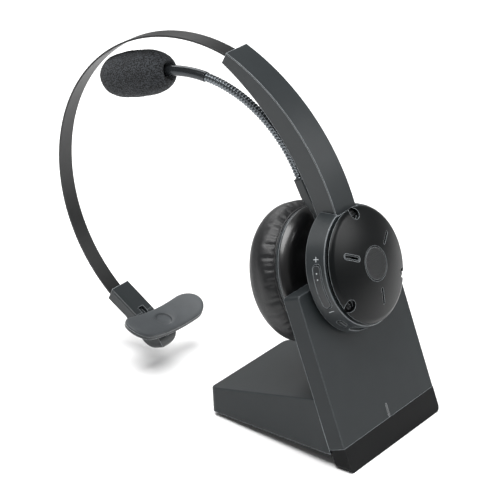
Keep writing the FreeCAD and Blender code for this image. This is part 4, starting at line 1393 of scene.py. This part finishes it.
@dataclass
class RingMarks:
    """The marks printed on the ear cup's ring and on its volume key."""

    ring_radius: float = 27.5
    ring_rear: float = 1.9
    slope: float = 0.2595
    middle: float = 6.2
    key_stand: float = 0.25
    stroke: float = 0.26
    size: float = 2.2
    dot_radius: float = 0.28
    ink: float = 0.05
    root: float = -0.1

    def outline(self, mark: Mark) -> list[tuple[float, float]]:
        """Gives a mark's outline, centred.

        Args:
            mark: which mark.

        Returns:
            Its corners, around the ring and along the cup's axis.
        """
        s, h = self.stroke / 2, self.size / 2
        if mark is Mark.PLUS:
            return [(s, s), (s, h), (-s, h), (-s, s), (-h, s), (-h, -s), (-s, -s), (-s, -h), (s, -h), (s, -s),
                    (h, -s), (h, s)]
        if mark is Mark.MINUS:
            return [(s, -h), (s, h), (-s, h), (-s, -h)]
        angles = [math.pi * k / 6 for k in range(12)]
        return [(self.dot_radius * math.cos(t), self.dot_radius * math.sin(t)) for t in angles]

    def add(self, name: str, mark: Mark, degrees: float, lift: float, body: str, slot: str) -> None:
        """Prints one mark on the ring's curved side.

        Args:
            name: the piece's name.
            mark: which mark.
            degrees: its place round the cup.
            lift: how far the surface stands above the ring.
            body: the body that it rides on.
            slot: not used.
        """
        radius = self.ring_radius - (self.middle - self.ring_rear) * self.slope + lift
        shell = Shell()
        rings = []
        for height in (self.root, self.ink):
            ring = []
            for around, along in self.outline(mark):
                side = radius + height - along * self.slope
                ring.append(CUP.polar(side, math.radians(degrees) + around / radius, self.middle + along))
            rings.append(ring)
        lower, upper = (shell.add_ring(ring) for ring in rings)
        shell.join(lower, upper)
        shell.faces += [tuple(reversed(lower)), tuple(upper)]
        printed = shell.make(name)
        for polygon in printed.data.polygons:
            polygon.use_smooth = False
        fit(printed, MARK_INK, body)

    def build(self) -> None:
        """Prints the plus, the minus and the key's two dots."""
        self.add("volume_plus_mark", Mark.PLUS, 154.5, 0.0, "ear_cup", "cup_shell")
        self.add("volume_minus_mark", Mark.MINUS, 205.5, 0.0, "ear_cup", "cup_shell")
        self.add("volume_key_dot_1", Mark.DOT, 167.0, self.key_stand, "volume_key", "key_plastic")
        self.add("volume_key_dot_2", Mark.DOT, 172.5, self.key_stand, "volume_key", "key_plastic")


@dataclass
class Housings:
    """Every hard piece that the model brings with it."""

    def build(self) -> None:
        """Gives each node the finish of its material slot."""
        for part in frame["record"]["subparts"]:
            node = part["node"]
            finish = NODE_FINISHES.get(node, SLOT_FINISHES[part["material_slot"]])
            dress(frame["nodes"][node], finish)
        LOG.info("dressed %d nodes", len(frame["nodes"]))


# ---------------------------------------------------------------- studio


@dataclass
class Softbox:
    """One square soft light."""

    name: str
    place: tuple[float, float, float]
    side: float
    power: float

    def build(self, target: Vector) -> None:
        """Makes the light.

        Args:
            target: where it points.
        """
        light = bpy.data.lights.new(self.name, "AREA")
        light.size = self.side
        light.energy = self.power
        made = bpy.data.objects.new(self.name, light)
        made.location = Vector(self.place)
        made.rotation_mode = "QUATERNION"
        made.rotation_quaternion = (target - made.location).to_track_quat("-Z", "Y")
        bpy.context.scene.collection.objects.link(made)


@dataclass
class Studio:
    """The pale floor, the soft lights and the camera, in metres."""

    camera_place: tuple[float, float, float] = (-0.6866, -0.4357, 0.4684)
    camera_look: tuple[float, float, float] = (0.7275, 0.5392, -0.4244)
    lens: float = 158.43
    sensor: float = 36.0
    floor_half: float = 4.0
    floor_cells: int = 8
    sky: float = 0.24
    softboxes: tuple[Softbox, ...] = (
        Softbox("key_softbox", (-0.25, 0.1, 1.2), 0.9, 20.0),
        Softbox("fill_softbox", (0.3, -0.45, 0.5), 0.35, 2.8),
        Softbox("rim_softbox", (0.5, 0.9, 1.0), 0.8, 8.0),
    )

    def build(self) -> None:
        """Makes the floor, the lights, the sky and the camera."""
        self.build_floor()
        low, high = CAD_BOX
        for box in self.softboxes:
            box.build((low + high) / 2)
        world = bpy.data.worlds.new("studio_sky")
        world.use_nodes = True
        sky = world.node_tree.nodes["Background"]
        sky.inputs["Color"].default_value = (1, 1, 1, 1)
        sky.inputs["Strength"].default_value = self.sky
        bpy.context.scene.world = world
        bpy.context.scene.view_settings.view_transform = "Standard"
        self.build_camera()

    def build_floor(self) -> None:
        """Makes the floor as a flat grid."""
        cells = self.floor_cells
        places = [self.floor_half * (2 * i / cells - 1) for i in range(cells + 1)]
        shell = Shell(points=[Vector((x, y, 0.0)) for x in places for y in places])
        for i in range(cells):
            for k in range(cells):
                corner = i * (cells + 1) + k
                shell.faces.append((corner, corner + cells + 1, corner + cells + 2, corner + 1))
        floor = shell.make("studio_floor")
        dress(floor, PALE_BOARD)

    def build_camera(self) -> None:
        """Makes the camera and makes it the scene's own."""
        camera = bpy.data.cameras.new("studio_camera")
        camera.lens = self.lens
        camera.sensor_width = self.sensor
        made = bpy.data.objects.new("studio_camera", camera)
        made.location = Vector(self.camera_place)
        made.rotation_mode = "QUATERNION"
        made.rotation_quaternion = Vector(self.camera_look).to_track_quat("-Z", "Y")
        bpy.context.scene.collection.objects.link(made)
        bpy.context.scene.camera = made


def write_sizes() -> None:
    """Brings the view layer up to date."""
    bpy.context.view_layer.update()


def main() -> None:
    """Builds the pieces in order and reports each one."""
    logging.basicConfig(level=logging.INFO, format="%(name)s: %(message)s")
    for part in (Housings(), EarCushion(), Gooseneck(), TemplePad(), SlotFrame(), RingMarks(), Studio()):
        part.build()
        LOG.info("%s is done", type(part).__name__)
    write_sizes()


if __name__ == "__main__":
    main()
